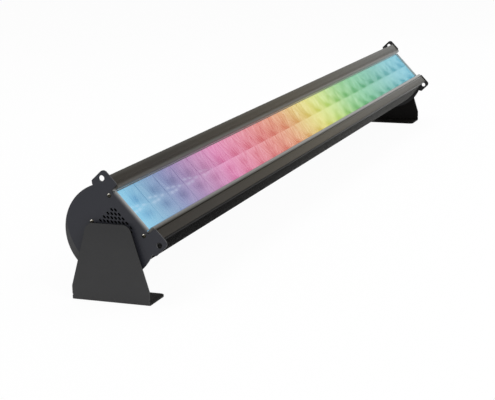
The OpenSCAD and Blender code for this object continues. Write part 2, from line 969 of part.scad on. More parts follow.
// A panel socket at distance x along the head: flange, round body, and a round recess of the given radius
module socket_shell(x, recess_r, recess_depth) {
    translate([x, 0, -panel_out])
        difference() {
            union() {
                translate([0, 0, -flange_t])
                    linear_extrude(flange_t)
                        round_rect(socket_w, socket_l, flange_round_r);
                translate([0, 0, -flange_t - socket_lip])
                    cylinder(h = flange_t + socket_lip + socket_depth, r = socket_r);
            }
            translate([0, 0, -flange_t - socket_lip - over])
                cylinder(h = recess_depth + over, r = recess_r);
            for (s = [-1, 1])
                translate([s * socket_screw_x, s * socket_screw_y, -flange_t - over])
                    cylinder(h = flange_t + 2 * over, r = small_screw_r + screw_clear);
        }
}

// A ring of contact pins on the floor of a socket recess
module contact_pins(x, ring_r, count) {
    floor_z = -panel_out - flange_t - socket_lip + socket_well;
    for (k = [0 : count - 1])
        rotate_about(x, k * 360 / count)
            translate([x + ring_r, 0, floor_z - pin_len])
                cylinder(h = pin_len + sliver, r = pin_r);
}

// Turns its children round a line along Z at distance x
module rotate_about(x, angle) {
    translate([x, 0, 0])
        rotate([0, 0, angle])
            translate([-x, 0, 0])
                children();
}

module power_inlet() {
    color([0.12, 0.35, 0.70])
        in_head() {
            socket_shell(-outer_socket, power_recess_r, socket_well);
            contact_pins(-outer_socket, power_ring_r, power_pin_count);
        }
}

module power_outlet() {
    color([0.55, 0.56, 0.58])
        in_head() {
            socket_shell(-inner_socket, power_recess_r, socket_well);
            contact_pins(-inner_socket, power_ring_r, power_pin_count);
        }
}

module data_inlet() {
    color([0.12, 0.12, 0.13])
        in_head() {
            socket_shell(inner_socket, data_recess_r, socket_well);
            contact_pins(inner_socket, data_ring_r, data_pin_count);
        }
}

module data_outlet() {
    face_r = 8.4;
    face_depth = 2;
    hole_r = 1.2;
    hole_depth = 12;
    color([0.12, 0.12, 0.13])
        in_head()
            difference() {
                socket_shell(outer_socket, face_r, face_depth);
                for (k = [0 : data_pin_count - 1])
                    rotate_about(outer_socket, k * 360 / data_pin_count)
                        translate([outer_socket + data_ring_r, 0, -panel_out - flange_t - socket_lip])
                            cylinder(h = hole_depth, r = hole_r);
            }
}

module display_window() {
    color([0.05, 0.08, 0.12])
        in_head() {
            translate([display_x - display_l / 2, -display_w / 2, -panel_out])
                cube([display_l, display_w, panel_t + sliver]);
            translate([display_x - display_l / 2 - display_flange, -display_w / 2 - display_flange, -back_z])
                cube([display_l + 2 * display_flange, display_w + 2 * display_flange, display_flange_t]);
        }
}

module button(k) {
    flange_low = back_z - fit;
    stem_end = board_z + switch_h + button_travel + fit;
    stem_r = 1.5;
    collar_t = 1;
    collar_out = 1.2;
    color([0.20, 0.20, 0.21])
        in_head()
            translate([button_x(k), 0, 0]) {
                translate([0, 0, -panel_out - button_out])
                    cylinder(h = panel_t + button_out + fit + sliver, r = button_r);
                translate([0, 0, -flange_low])
                    cylinder(h = collar_t, r = button_r + collar_out);
                translate([0, 0, -flange_low])
                    cylinder(h = flange_low - stem_end, r = stem_r);
            }
}

module button_menu() { button(0); }
module button_down() { button(1); }
module button_up() { button(2); }
module button_enter() { button(3); }

// The upright of a foot in (Y, Z), from the floor to its round top corners
module foot_outline() {
    foot_top = axis_height + foot_over;
    taper = (foot_half - foot_top_half) / (foot_top - foot_kink);
    angle = atan(taper);
    corner_y = foot_top_half + foot_round * taper - foot_round / cos(angle);
    side_y = corner_y + foot_round * cos(angle);
    side_z = foot_top - foot_round + foot_round * sin(angle);
    polygon([[-foot_half, 0], [foot_half, 0], [foot_half, foot_kink], [side_y, side_z], [corner_y, foot_top],
        [-corner_y, foot_top], [-side_y, side_z], [-foot_half, foot_kink]]);
    for (s = [-1, 1])
        translate([s * corner_y, foot_top - foot_round])
            circle(foot_round);
}

module foot(side) {
    relief_r = 1.4;
    relief_z = foot_bend + 4;
    color([0.23, 0.23, 0.23])
        translate([0, axis_y, 0])
            at_end(side)
                difference() {
                    union() {
                        along_x(-foot_out, foot_t)
                            foot_outline();
                        translate([-foot_out, 0, 0])
                            linear_extrude(foot_t)
                                difference() {
                                    translate([0, -foot_half])
                                        square([foot_depth, 2 * foot_half]);
                                    corner_waste([foot_depth, foot_half], [1, 1], flange_round);
                                    corner_waste([foot_depth, -foot_half], [1, -1], flange_round);
                                }
                        translate([-foot_out, foot_half, 0])
                            rotate([90, 0, 0])
                                linear_extrude(2 * foot_half)
                                    difference() {
                                        square(foot_bend);
                                        translate([foot_bend, foot_bend])
                                            circle(foot_bend - foot_t);
                                    }
                    }
                    translate([-foot_out, foot_half + over, 0])
                        rotate([90, 0, 0])
                            linear_extrude(2 * (foot_half + over))
                                corner_waste([0, 0], [-1, -1], foot_bend);
                    for (s = [-1, 1]) {
                        translate([0, s * foot_half, relief_z])
                            rod_x(-foot_out - over, foot_t + 2 * over, relief_r);
                        translate([-foot_out + foot_depth / 2, s * fix_pitch / 2, -over])
                            cylinder(h = foot_t + 2 * over, r = fix_hole_r);
                    }
                    translate([-foot_out + foot_depth / 2, 0, -over])
                        cylinder(h = foot_t + 2 * over, r = clamp_hole_r);
                }
}

module foot_left() { foot(-1); }
module foot_right() { foot(1); }

module pivot_stud(side) {
    color([0.65, 0.66, 0.67])
        in_head()
            at_end(side) {
                rod_x(inner_face, foot_gap + plate_t + stud_end, stud_r);
                rod_x(inner_face, collar_h, collar_r);
            }
}

module pivot_stud_left() { pivot_stud(-1); }
module pivot_stud_right() { pivot_stud(1); }

module friction_washer(side) {
    color([0.15, 0.15, 0.15])
        in_head()
            at_end(side)
                difference() {
                    rod_x(inner_face, foot_gap - fit, washer_r);
                    rod_x(inner_face - over, foot_gap + 2 * over, stud_r + stud_clear);
                    rod_x(inner_face - over, over + collar_h + stud_clear, collar_r + stud_clear);
                }
}

module friction_washer_left() { friction_washer(-1); }
module friction_washer_right() { friction_washer(1); }

module pivot_bush(side) {
    color([0.85, 0.85, 0.80])
        in_head()
            at_end(side)
                difference() {
                    union() {
                        rod_x(-half_len, plate_t + bush_flange, bush_r);
                        rod_x(-plate_inner, bush_flange, washer_r);
                    }
                    rod_x(-half_len - over, plate_t + bush_flange + 2 * over, stud_r + stud_clear);
                }
}

module pivot_bush_left() { pivot_bush(-1); }
module pivot_bush_right() { pivot_bush(1); }

module disc_spring(side) {
    color([0.70, 0.70, 0.70])
        in_head()
            at_end(side)
                difference() {
                    rod_x(-plate_inner + bush_flange + fit, spring_t, washer_r - 1);
                    rod_x(-plate_inner, 2 * washer_r, stud_r + stud_clear);
                }
}

module disc_spring_left() { disc_spring(-1); }
module disc_spring_right() { disc_spring(1); }

module lock_nut(side) {
    x0 = -plate_inner + bush_flange + fit + spring_t;
    color([0.72, 0.72, 0.70])
        in_head()
            at_end(side)
                difference() {
                    union() {
                        along_x(x0, nut_h - nut_collar)
                            circle(nut_r, $fn = 6);
                        rod_x(x0, nut_h, nut_collar_r);
                    }
                    rod_x(x0 - over, nut_h + 2 * over, stud_r + stud_clear);
                }
}

module lock_nut_left() { lock_nut(-1); }
module lock_nut_right() { lock_nut(1); }

housing();
rail_lower();
rail_upper();
end_plate_left();
end_plate_right();
end_screws_left();
end_screws_right();
window_sheet();
window_seal_lower();
window_seal_upper();
light_tray_1();
light_tray_2();
light_tray_3();
light_tray_4();
light_tray_5();
light_tray_6();
led_board_1();
led_board_2();
led_board_3();
led_board_4();
led_board_5();
led_board_6();
heat_sink_core();
fan_frame_left();
fan_frame_right();
fan_rotor_left();
fan_rotor_right();
fan_bulkhead_left();
fan_bulkhead_right();
power_supply_left();
power_supply_right();
driver_board_left();
driver_board_right();
control_board();
service_panel();
panel_screws();
socket_screws();
power_inlet();
power_outlet();
data_inlet();
data_outlet();
display_window();
button_menu();
button_down();
button_up();
button_enter();
foot_left();
foot_right();
pivot_stud_left();
pivot_stud_right();
friction_washer_left();
friction_washer_right();
pivot_bush_left();
pivot_bush_right();
disc_spring_left();
disc_spring_right();
lock_nut_left();
lock_nut_right();
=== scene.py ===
import json
import math

import bmesh
import bpy
from mathutils import Matrix, Vector

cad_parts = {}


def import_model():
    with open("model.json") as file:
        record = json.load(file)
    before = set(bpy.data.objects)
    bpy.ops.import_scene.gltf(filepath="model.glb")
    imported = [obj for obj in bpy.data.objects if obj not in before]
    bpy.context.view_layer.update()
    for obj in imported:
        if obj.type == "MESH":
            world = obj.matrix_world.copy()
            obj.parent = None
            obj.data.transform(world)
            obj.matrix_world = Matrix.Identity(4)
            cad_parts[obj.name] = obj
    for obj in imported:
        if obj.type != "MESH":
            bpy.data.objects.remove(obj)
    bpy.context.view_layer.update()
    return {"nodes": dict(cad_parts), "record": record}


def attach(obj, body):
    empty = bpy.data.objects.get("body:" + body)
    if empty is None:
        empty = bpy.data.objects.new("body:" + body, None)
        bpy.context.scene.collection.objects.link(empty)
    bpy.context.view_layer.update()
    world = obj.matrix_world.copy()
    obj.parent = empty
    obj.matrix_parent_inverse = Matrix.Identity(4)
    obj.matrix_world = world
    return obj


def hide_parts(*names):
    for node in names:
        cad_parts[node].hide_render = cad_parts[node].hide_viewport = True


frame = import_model()

# Sizes are in millimetres and angles in degrees, in the head's own frame: X runs along the head, Z comes
# out of the window, and the tilt axis is the origin. Only the feet are drawn in FLOOR_FRAME, which is
# upright and has its origin on the floor under that axis. The stage and the camera are in metres.
MM = 0.001
TILT = 47
AXIS_Y = 10.2206
AXIS_Z = 123
HEAD = Matrix.Translation((0, AXIS_Y * MM, AXIS_Z * MM)) @ Matrix.Rotation(math.radians(TILT), 4, "X")
FLOOR_FRAME = Matrix.Translation((0, AXIS_Y * MM, 0))

# Window. The pane reaches PANE_GRIP into each rail.
WINDOW_HALF = 43
WINDOW_LOW = 53
WINDOW_TOP = 56
PANE_END = 910.88
PANE_GRIP = 2.6
SEAL_Z = 51.5

# Housing and rails. FLANK_RUN is about the length of a flank, from its shoulder to the widest line.
SHOULDER_Z = 50
SHOULDER_HALF = 69
HOUSING_R = 76
HOUSING_WALL = 7.5
BACK_WALL = 3
BACK_Z = 60
FLANK_RUN = 50.7
RAIL_OUT = 70.6
RAIL_TOP = 67.4

# End plates, with holes at (y, z). The rim is the part outside the circle of RIM_R, paler with a painted
# highlight.
PLATE_INNER = 912.4
PLATE_T = 2.5
HALF_LEN = PLATE_INNER + PLATE_T
PLATE_R = 84.7
PLATE_LOW_Z = 33.9
LIP_HALF = 42.6
LIP_START = 54.5
LIP_BEND = 4
LIP_DEPTH = 4.1
EAR_HOLE = (74.9, 54.8)
SCREW_HOLES = ((45.2, 44.5), (34.3, -13.6))
RIM_CENTRE_Z = 36.1
RIM_R = 108.7

# Light cells
CELL_PITCH = 76
TRAY_CELLS = 4
TRAY_COUNT = 6
TRAY_TOP = 52.6

# Feet
FOOT_OUT = 923.9
FOOT_T = 3

# Mesh settings
BEND_STEPS = 8
BEVEL_STEPS = 2
JOIN_BELOW = 0.05
NEARLY_STRAIGHT = 89
EDGE_SHARE = 0.49


# Outlines

def arc(cx, cy, r, start, end, steps):
    """Points on part of a circle."""
    out = []
    for i in range(steps + 1):
        a = math.radians(start + (end - start) * i / steps)
        out.append((cx + r * math.cos(a), cy + r * math.sin(a)))
    return out


def rounded(corners, steps):
    """A closed outline from (x, y, radius) corners, with each corner rounded."""
    out = []
    for i, (x, y, r) in enumerate(corners):
        p = Vector((x, y))
        a = Vector(corners[i - 1][:2]) - p
        b = Vector(corners[(i + 1) % len(corners)][:2]) - p
        half = a.angle(b) / 2
        if r <= 0 or half > math.radians(NEARLY_STRAIGHT):
            out.append((x, y))
            continue
        reach = min(r / math.tan(half), a.length * EDGE_SHARE, b.length * EDGE_SHARE)
        r = reach * math.tan(half)
        centre = p + (a.normalized() + b.normalized()).normalized() * (r / math.sin(half))
        s = p + a.normalized() * reach - centre
        e = p + b.normalized() * reach - centre
        turn = math.atan2(s.x * e.y - s.y * e.x, s.dot(e))
        for k in range(steps + 1):
            c, d = math.cos(turn * k / steps), math.sin(turn * k / steps)
            out.append((centre.x + s.x * c - s.y * d, centre.y + s.x * d + s.y * c))
    return out


def rectangle(x0, y0, x1, y1, r, steps):
    return rounded([(x0, y0, r), (x1, y0, r), (x1, y1, r), (x0, y1, r)], steps)


def circle(cx, cy, r, steps):
    return arc(cx, cy, r, 0, 360, steps)[:-1]


def slot_outline(cx, cy, length, width):
    reach = (length - width) / 2
    return arc(cx + reach, cy, width / 2, -90, 90, 6) + arc(cx - reach, cy, width / 2, 90, 270, 6)


def mirrored(points):
    """The same points on the left, in reverse order, without those on the middle line."""
    return [(-x, y) for x, y in reversed(points) if x > 1e-6]


# Meshes

def slab(loops, thick):
    """A solid from a flat outline and its holes, in the XY plane, thick along Z."""
    bm = bmesh.new()
    edges = []
    for loop in loops:
        verts = [bm.verts.new((x, y, 0)) for x, y in loop]
        for i, v in enumerate(verts):
            edges.append(bm.edges.new((verts[i - 1], v)))
    bmesh.ops.triangle_fill(bm, use_beauty=True, edges=edges)
    made = bmesh.ops.extrude_face_region(bm, geom=bm.faces[:])
    far = [v for v in made["geom"] if isinstance(v, bmesh.types.BMVert)]
    bmesh.ops.translate(bm, vec=(0, 0, thick), verts=far)
    return bm


def place(bm, how=lambda x, y, z: (x, y, z)):
    """Moves each point of a mesh, turns millimetres into metres, and makes the faces look outward."""
    for v in bm.verts:
        v.co = Vector(how(*v.co)) * MM
    bmesh.ops.recalc_face_normals(bm, faces=bm.faces[:])


def extrusion(loops, half, side=1):
    """A bar along X, so far each way, from outlines across it. A side of -1 mirrors them in Y."""
    bm = slab(loops, 2 * half)
    place(bm, lambda y, z, w: (w - half, side * y, z))
    return bm


def cut_across(bm, places):
    """Adds edges across a flat sheet, so that it can bend there, and joins points that nearly meet."""
    for at in places:
        geom = bm.verts[:] + bm.edges[:] + bm.faces[:]
        bmesh.ops.bisect_plane(bm, geom=geom, plane_co=(0, at, 0), plane_no=(0, 1, 0))
    bmesh.ops.remove_doubles(bm, verts=bm.verts[:], dist=JOIN_BELOW)


def bent(out, radius, past, w):
    """Where a right-angle bend takes a point of a sheet, as its x and its reach along the sheet's old plane.

    The sheet's outer face lies at x = out. The point lies so far past the start of the bend, and at depth w.
    """
    turn = min(past / (radius * math.pi / 2), 1) * math.pi / 2
    flat = max(past - radius * math.pi / 2, 0)
    return out - radius + (radius - w) * math.cos(turn) - flat, (radius - w) * math.sin(turn)


def ring(bm, r, z, steps, hexagon=False):
    """A closed row of points round Z, on a circle or on a hexagon whose corners lie at that radius."""
    out = []
    for k in range(steps):
        a = 2 * math.pi * k / steps
        reach = r * math.cos(math.pi / 6) / math.cos(a % (math.pi / 3) - math.pi / 6) if hexagon else r
        out.append(bm.verts.new((reach * math.cos(a), reach * math.sin(a), z)))
    return out


def skin(bm, rings, steps):
    """Faces between each ring and the next, where a ring may be a single point."""
    for a, b in zip(rings, rings[1:]):
        for k in range(steps):
            quad = [a[k % len(a)], a[(k + 1) % len(a)], b[(k + 1) % len(b)], b[k % len(b)]]
            face = list(dict.fromkeys(quad))
            if len(face) > 2:
                bm.faces.new(face)


def lathe(profile, steps):
    """A solid turned round Z from (radius, height) points, where the ends lie on the axis."""
    bm = bmesh.new()
    skin(bm, [ring(bm, r, z, steps) if r else [bm.verts.new((0, 0, z))] for r, z in profile], steps)
    return bm


def to_mesh(name, bm):
    mesh = bpy.data.meshes.new(name)
    bm.to_mesh(mesh)
    bm.free()
    return mesh


def joined(parts):
    """One mesh of several."""
    whole = bmesh.new()
    for bm in parts:
        mesh = to_mesh("part", bm)
        whole.from_mesh(mesh)
        bpy.data.meshes.remove(mesh)
    return whole


def add_object(name, data):
    obj = bpy.data.objects.new(name, data)
    bpy.context.scene.collection.objects.link(obj)
    return obj


def round_edges(obj, width, sharp):
    """Bevels the edges that are sharper than the given angle."""
    mod = obj.modifiers.new("bevel", "BEVEL")
    mod.width = width * MM
    mod.segments = BEVEL_STEPS
    mod.limit_method = "ANGLE"
    mod.angle_limit = math.radians(sharp)
    mod.use_clamp_overlap = True
    mod.miter_outer = "MITER_ARC"
    weights = obj.modifiers.new("weights", "WEIGHTED_NORMAL")
    weights.keep_sharp = True


def piece(name, bm, look, body, nodes, sharp, matrix=HEAD, bevel=0):
    """Makes an object of a mesh in metres, put in place by matrix, and ties it to its body and CAD nodes."""
    bm.transform(matrix)
    mesh = to_mesh(name, bm)
    mesh.materials.append(MATS[look])
    mesh.shade_smooth()
    obj = add_object(name, mesh)
    if bevel:
        round_edges(obj, bevel, sharp)
    else:
        mesh.set_sharp_from_angle(angle=math.radians(sharp))
    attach(obj, body)
    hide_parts(*nodes)
    return obj


# Materials

class Graph:
    """Short calls for building a node material, whose coordinates are the head's unless it is upright."""

    def __init__(self, name, upright=False):
        self.mat = bpy.data.materials.new(name)
        self.mat.use_nodes = True
        self.tree = self.mat.node_tree
        self.shader = self.tree.nodes["Principled BSDF"]
        self.coords = self.tree.nodes.new("ShaderNodeTexCoord").outputs["Object"]
        if not upright:
            links = {"Vector": self.coords, "Location": (0, AXIS_Y * MM, AXIS_Z * MM),
                     "Rotation": (math.radians(TILT), 0, 0)}
            self.coords = self.add("ShaderNodeMapping", links, vector_type="TEXTURE").outputs["Vector"]

    def feed(self, socket, source):
        """Links an output into a socket, or sets the socket to a plain value."""
        if isinstance(source, bpy.types.NodeSocket):
            self.tree.links.new(source, socket)
        else:
            socket.default_value = source

    def add(self, kind, links=(), **values):
        node = self.tree.nodes.new(kind)
        for key, value in values.items():
            setattr(node, key, value)
        for socket, source in dict(links).items():
            self.feed(node.inputs[socket], source)
        return node

    def stretched(self, scale):
        return self.add("ShaderNodeMapping", {"Vector": self.coords, "Scale": scale}).outputs["Vector"]

    def noise(self, scale, detail, vector=None, rough=0.5):
        links = {"Vector": vector or self.coords, "Scale": scale, "Detail": detail, "Roughness": rough}
        return self.add("ShaderNodeTexNoise", links).outputs["Fac"]

    def fit(self, value, low, high, start=0.0, end=1.0):
        """Goes from low to high as the value goes from start to end, and stays there beyond them."""
        links = {"Value": value, "From Min": start, "From Max": end, "To Min": low, "To Max": high}
        return self.add("ShaderNodeMapRange", links).outputs["Result"]

    def fit_mm(self, value, low, high, start, end):
        """The same, for a place whose start and end are in millimetres."""
        return self.fit(value, low, high, start * MM, end * MM)

    def math(self, operation, a, b=0.0, c=0.0):
        return self.add("ShaderNodeMath", {0: a, 1: b, 2: c}, operation=operation).outputs[0]

    def times(self, a, b):
        return self.math("MULTIPLY", a, b)

    def absolute(self, a):
        return self.math("ABSOLUTE", a)

    def axes(self):
        parts = self.add("ShaderNodeSeparateXYZ", {"Vector": self.coords})
        return [parts.outputs[name] for name in "XYZ"]

    def hump(self, a, centre_a, width_a, b, centre_b, width_b):
        """A soft round spot: 1 at the centre, near 0 two widths away."""
        da = self.times(self.math("SUBTRACT", a, centre_a), 1 / width_a)
        db = self.times(self.math("SUBTRACT", b, centre_b), 1 / width_b)
        far = self.math("MULTIPLY_ADD", da, da, self.times(db, db))
        return self.math("EXPONENT", self.times(far, -1.0))

    def mix(self, factor, a, b):
        a, b = [(*c, 1) if isinstance(c, tuple) else c for c in (a, b)]
        node = self.add("ShaderNodeMix", data_type="RGBA")
        for name, source in (("Factor_Float", factor), ("A_Color", a), ("B_Color", b)):
            self.feed(next(i for i in node.inputs if i.identifier == name), source)
        return next(o for o in node.outputs if o.identifier == "Result_Color")

    def layered(self, base, marks):
        """The base colour under the (factor, colour) layers that marks gives."""
        for factor, colour in marks(self) if marks else ():
            base = self.mix(factor, base, colour)
        return base

    def ramp(self, value, stops):
        """A colour that goes through the (place, colour) stops as the value goes from 0 to 1."""
        node = self.add("ShaderNodeValToRGB", {"Fac": value})
        points = node.color_ramp.elements
        while len(points) < len(stops):
            points.new(0.5)
        for point, (at, colour) in zip(points, stops):
            point.position = at
            point.color = (*colour, 1)
        return node.outputs["Color"]

    def set(self, **sockets):
        """Feeds sockets of the shader, named with _ for each space."""
        for name, source in sockets.items():
            self.feed(self.shader.inputs[name.replace("_", " ")], source)

    def bump(self, height, distance, strength):
        links = {"Height": height, "Distance": distance, "Strength": strength}
        self.set(Normal=self.add("ShaderNodeBump", links).outputs["Normal"])


def shade(colour, factor):
    return tuple(c * factor for c in colour)


def powder_coat(name, colour, rough, gloss, marks=None, inside=None, upright=False):
    """Satin powder coat: fine grain and a faint slow change of tone, with no grain where inside is 1."""
    g = Graph(name, upright)
    base = g.ramp(g.noise(scale=9, detail=3), [(0.3, shade(colour, 0.95)), (0.7, shade(colour, 1.05))])
    speck = g.fit(g.noise(scale=1560, detail=1), 0, 0.12, 0.45, 0.75)
    base = g.mix(speck, base, shade(colour, 1.8))
    grain = g.noise(scale=2600, detail=1)
    if inside:
        grain = g.times(grain, g.math("SUBTRACT", 1.0, inside(g)))
    g.set(Base_Color=g.layered(base, marks), Specular_IOR_Level=gloss,
          Roughness=g.fit(g.noise(scale=60, detail=3), rough - 0.03, rough + 0.04))
    g.bump(grain, distance=0.00003, strength=0.5)
    return g.mat


def bare_metal(name, colour, rough, stretch, marks=None):
    """Metal with fine lines or grain, by how far the noise is stretched."""
    g = Graph(name)
    lines = g.noise(scale=1, detail=4, vector=g.stretched(stretch))
    base = g.ramp(lines, [(0.25, shade(colour, 0.8)), (0.75, colour)])
    g.set(Base_Color=g.layered(base, marks), Metallic=1.0,
          Roughness=g.fit(lines, rough - 0.08, rough + 0.12))
    g.bump(lines, distance=0.00002, strength=0.4)
    return g.mat


def plastic(name, colour, rough, gloss, grain=1800):
    """Moulded plastic with a fine spark grain."""
    g = Graph(name)
    tone = g.noise(scale=40, detail=2)
    g.set(Base_Color=g.ramp(tone, [(0.3, shade(colour, 0.92)), (0.7, shade(colour, 1.08))]),
          Roughness=g.fit(g.noise(scale=300, detail=3), rough - 0.06, rough + 0.08),
          Specular_IOR_Level=gloss)
    g.bump(g.noise(scale=grain, detail=2), distance=0.00002, strength=0.5)
    return g.mat


def extruded(name, colour, rough, gloss, marks):
    """Coated extrusion: die lines along X over a slow change of tone, with a slightly warm gloss."""
    g = Graph(name)
    lines = g.noise(scale=1, detail=3, vector=g.stretched((3, 700, 700)))
    slow = g.noise(scale=9, detail=2)
    tone = g.math("MULTIPLY_ADD", lines, 0.35, g.times(slow, 0.65))
    base = g.ramp(tone, [(0.35, shade(colour, 0.85)), (0.65, shade(colour, 1.15))])
    g.set(Base_Color=g.layered(base, marks), Roughness=g.fit(lines, rough - 0.06, rough + 0.08),
          Specular_IOR_Level=gloss, Specular_Tint=(1.0, 0.95, 0.86, 1))
    g.bump(lines, distance=0.00002, strength=0.5)
    return g.mat


def board_mask(name, colour):
    """Solder mask with copper tracks showing through."""
    g = Graph(name)
    links = {"Vector": g.coords, "Scale": 90, "Distortion": 6, "Detail": 1}
    tracks = g.add("ShaderNodeTexWave", links).outputs["Fac"]
    g.set(Base_Color=g.ramp(tracks, [(0.45, colour), (0.55, shade(colour, 1.5))]), Roughness=0.3)
    g.bump(tracks, distance=0.00002, strength=0.4)
    return g.mat


def clear_sheet(name):
    """Clear polycarbonate: nearly all light passes, and faint scratches show in its reflections."""
    g = Graph(name)
    g.set(Base_Color=(0.6, 0.65, 0.7, 1), Alpha=0.04, Specular_IOR_Level=0.3,
          Roughness=g.fit(g.noise(scale=400, detail=3), 0.05, 0.12))
    g.bump(g.noise(scale=900, detail=2), distance=0.00001, strength=0.3)
    return g.mat


# Marks: (factor, colour) layers, where a factor goes from 0 to 1 over the surface. Several paint light or
# shade.

def within(g, reach, blend):
    """1 where a piece of either end is nearer the middle of the head than reach, and 0 beyond the blend."""
    return g.fit_mm(g.absolute(g.axes()[0]), 1, 0, reach, reach + blend)


def plate_inside(g):
    return within(g, PLATE_INNER + 1.7, 0.6)


def foot_inside(g):
    return within(g, FOOT_OUT - FOOT_T + 0.4, 1.8)


def plate_marks(g):
    """The inner face is darker, a painted shade; the lip's bend is paler, a painted highlight, and the inner
    side of the right plate's lip is paler still, a painted highlight; a crescent at the back is paler, a
    painted highlight on the rim.
    """
    x, y, z = g.axes()
    beside = g.fit_mm(g.absolute(y), 1, 0, 42, 43.5)
    # painted highlight on the lip's bend
    lip = g.times(g.math("POWER", g.fit_mm(z, 0, 1, 50.5, 58.4), 2), beside)
    # brighter painted highlight on the inner side of the right plate's lip
    far_lip_highlight = g.times(g.fit_mm(z, 0, 1, 49, 51), g.fit_mm(x, 0, 1, 0, 1))
    far_lip_highlight = g.times(g.times(far_lip_highlight, beside), g.fit_mm(x, 1, 0, 912.9, 913.6))
    # painted highlight on the rim at the back
    above = g.math("ADD", z, -RIM_CENTRE_Z * MM)
    radius = g.math("SQRT", g.math("MULTIPLY_ADD", y, y, g.times(above, above)))
    rim = g.fit_mm(radius, 0, 1, RIM_R - 0.8, RIM_R + 0.8)
    # the inner face gets painted shade
    return [(plate_inside(g), (0.010, 0.010, 0.011)), (lip, (0.26, 0.26, 0.255)),
            (far_lip_highlight, (0.5, 0.49, 0.47)), (rim, (0.048, 0.048, 0.050))]


def foot_marks(g):
    """The upright is a little lighter toward the floor, and its inner face and flange are nearly black, a
    painted shade.
    """
    lower = g.fit_mm(g.axes()[2], 0.5, 0, 5, 130)
    return [(lower, (0.066, 0.066, 0.067)), (foot_inside(g), (0.004, 0.0035, 0.003))]


def rail_marks(g):
    """The faces are warmest in the middle of the head, and the beads beside the window are paler, a painted
    highlight.

    The wall between the window and the upper bead is pale, a painted reflection of the window, and so, a
    little, is that rail's outer edge, with painted light.
    """
    x, y, z = g.axes()
    far = g.fit_mm(x, 0, 1, -900, 900)
    reach = g.math("MULTIPLY_ADD", far, -5 * MM, -51 * MM)
    lower = g.times(g.math("SUBTRACT", y, reach), 1 / (6 * MM))
    lower = g.math("MINIMUM", g.math("MAXIMUM", lower, 0.0), g.fit_mm(y, 1, 0, -1, 1))
    beside = g.fit_mm(y, 1, 0, 43, 50)
    upper = g.times(g.fit_mm(y, 0, 1, -1, 1), g.fit_mm(x, 0.65, 1, 0, 800))
    upper = g.times(beside, upper)
    # painted reflection of the window on the upper rail's inner wall
    wall = g.times(g.fit_mm(z, 1, 0, 57, 61), g.fit_mm(y, 0, 1, 10, 12))
    wall = g.times(g.times(wall, beside), g.fit_mm(x, 0.5, 1, -700, 700))
    # painted light, paler toward the upper rail's outer edge
    edge = g.fit_mm(y, 0, 0.35, 62, 70)
    # painted highlight on the beads beside the window
    bead_highlight = g.mix(far, (0.145, 0.145, 0.138), (0.25, 0.25, 0.24))
    warm = g.mix(g.fit_mm(x, 0, 1, 0, 900), (0.024, 0.0165, 0.003), (0.012, 0.0105, 0.004))
    return [(g.fit_mm(x, 0, 1, -700, 0), warm), (lower, bead_highlight), (upper, bead_highlight), (wall, (0.85, 0.85, 0.84)),
            (edge, (0.09, 0.088, 0.08))]


def side_marks(g):
    """The outer sides of the rails are paler toward the right end, a painted reflection."""
    right = g.math("POWER", g.fit_mm(g.axes()[0], 0, 1, -700, 800), 2)
    return [(right, (0.195, 0.194, 0.191))]


def housing_marks(g):
    """The housing is paler toward the right end, a painted sheen, and on its back."""
    x, _, z = g.axes()
    right = g.math("POWER", g.fit_mm(x, 0, 1, -700, 900), 1.5)
    back = g.fit_mm(z, 1, 0, -45, -15)
    return [(right, (0.095, 0.095, 0.091)), (back, (0.02, 0.02, 0.02))]


def screw_marks(g):
    """The heads on the end plates are darker with painted shade, their seats darkest, and only the upper
    side of each dome keeps its bright colour, a painted highlight.
    """
    normal = g.add("ShaderNodeTexCoord").outputs["Normal"]
    links = {0: normal, 1: (0, 0.5, 0.87)}
    facing = g.add("ShaderNodeVectorMath", links, operation="DOT_PRODUCT").outputs["Value"]
    seat = g.fit_mm(g.absolute(g.axes()[0]), 1, 0, HALF_LEN + 0.5, HALF_LEN + 1.1)
    return [(g.fit(facing, 1, 0, 0.25, 0.6), (0.03, 0.027, 0.02)), (seat, (0.02, 0.018, 0.014))]


def duct_marks(g):
    """The ends of the air duct, behind the vent slots, are black, a painted shade."""
    ends = g.fit_mm(g.absolute(g.axes()[0]), 0, 1, 790, 840)
    return [(ends, (0.006, 0.006, 0.006))]


# The lit cells. In each cell u runs from 0 to 1 along the head, v runs from 0 at its upper edge to 1 at its
# lower one, and aside is how far u is from the middle. Left is 1 at the left end of the window, and 0 from
# x = -480 on. A tone of 1 gives the deepest colour, and a negative one a paler colour.

# The light's colour along the head: a place, in steps of RAINBOW_STEP mm from the middle, and a linear RGB
RAINBOW = [
    (-600, (0.216, 0.594, 0.82)), (-540, (0.19, 0.39, 0.58)), (-480, (0.21, 0.24, 0.45)),
    (-430, (0.34, 0.22, 0.43)), (-375, (0.54, 0.24, 0.45)), (-320, (0.73, 0.25, 0.47)),
    (-230, (0.76, 0.26, 0.35)), (-150, (0.75, 0.26, 0.22)), (-75, (0.77, 0.38, 0.21)),
    (0, (0.78, 0.60, 0.22)), (60, (0.77, 0.74, 0.24)), (125, (0.62, 0.75, 0.26)),
    (210, (0.34, 0.63, 0.27)), (300, (0.24, 0.58, 0.34)), (410, (0.23, 0.55, 0.46)),
    (510, (0.24, 0.57, 0.62)), (600, (0.24, 0.58, 0.70)),
]
RAINBOW_HALF = 600
RAINBOW_STEP = 1.524

# Each glint's place: u, and the height across the window as a share of LIP_HALF
GLINTS = ((0.21, 0.17), (0.46, 0.11), (0.22, -0.09), (0.46, -0.08), (0.72, 0.02))


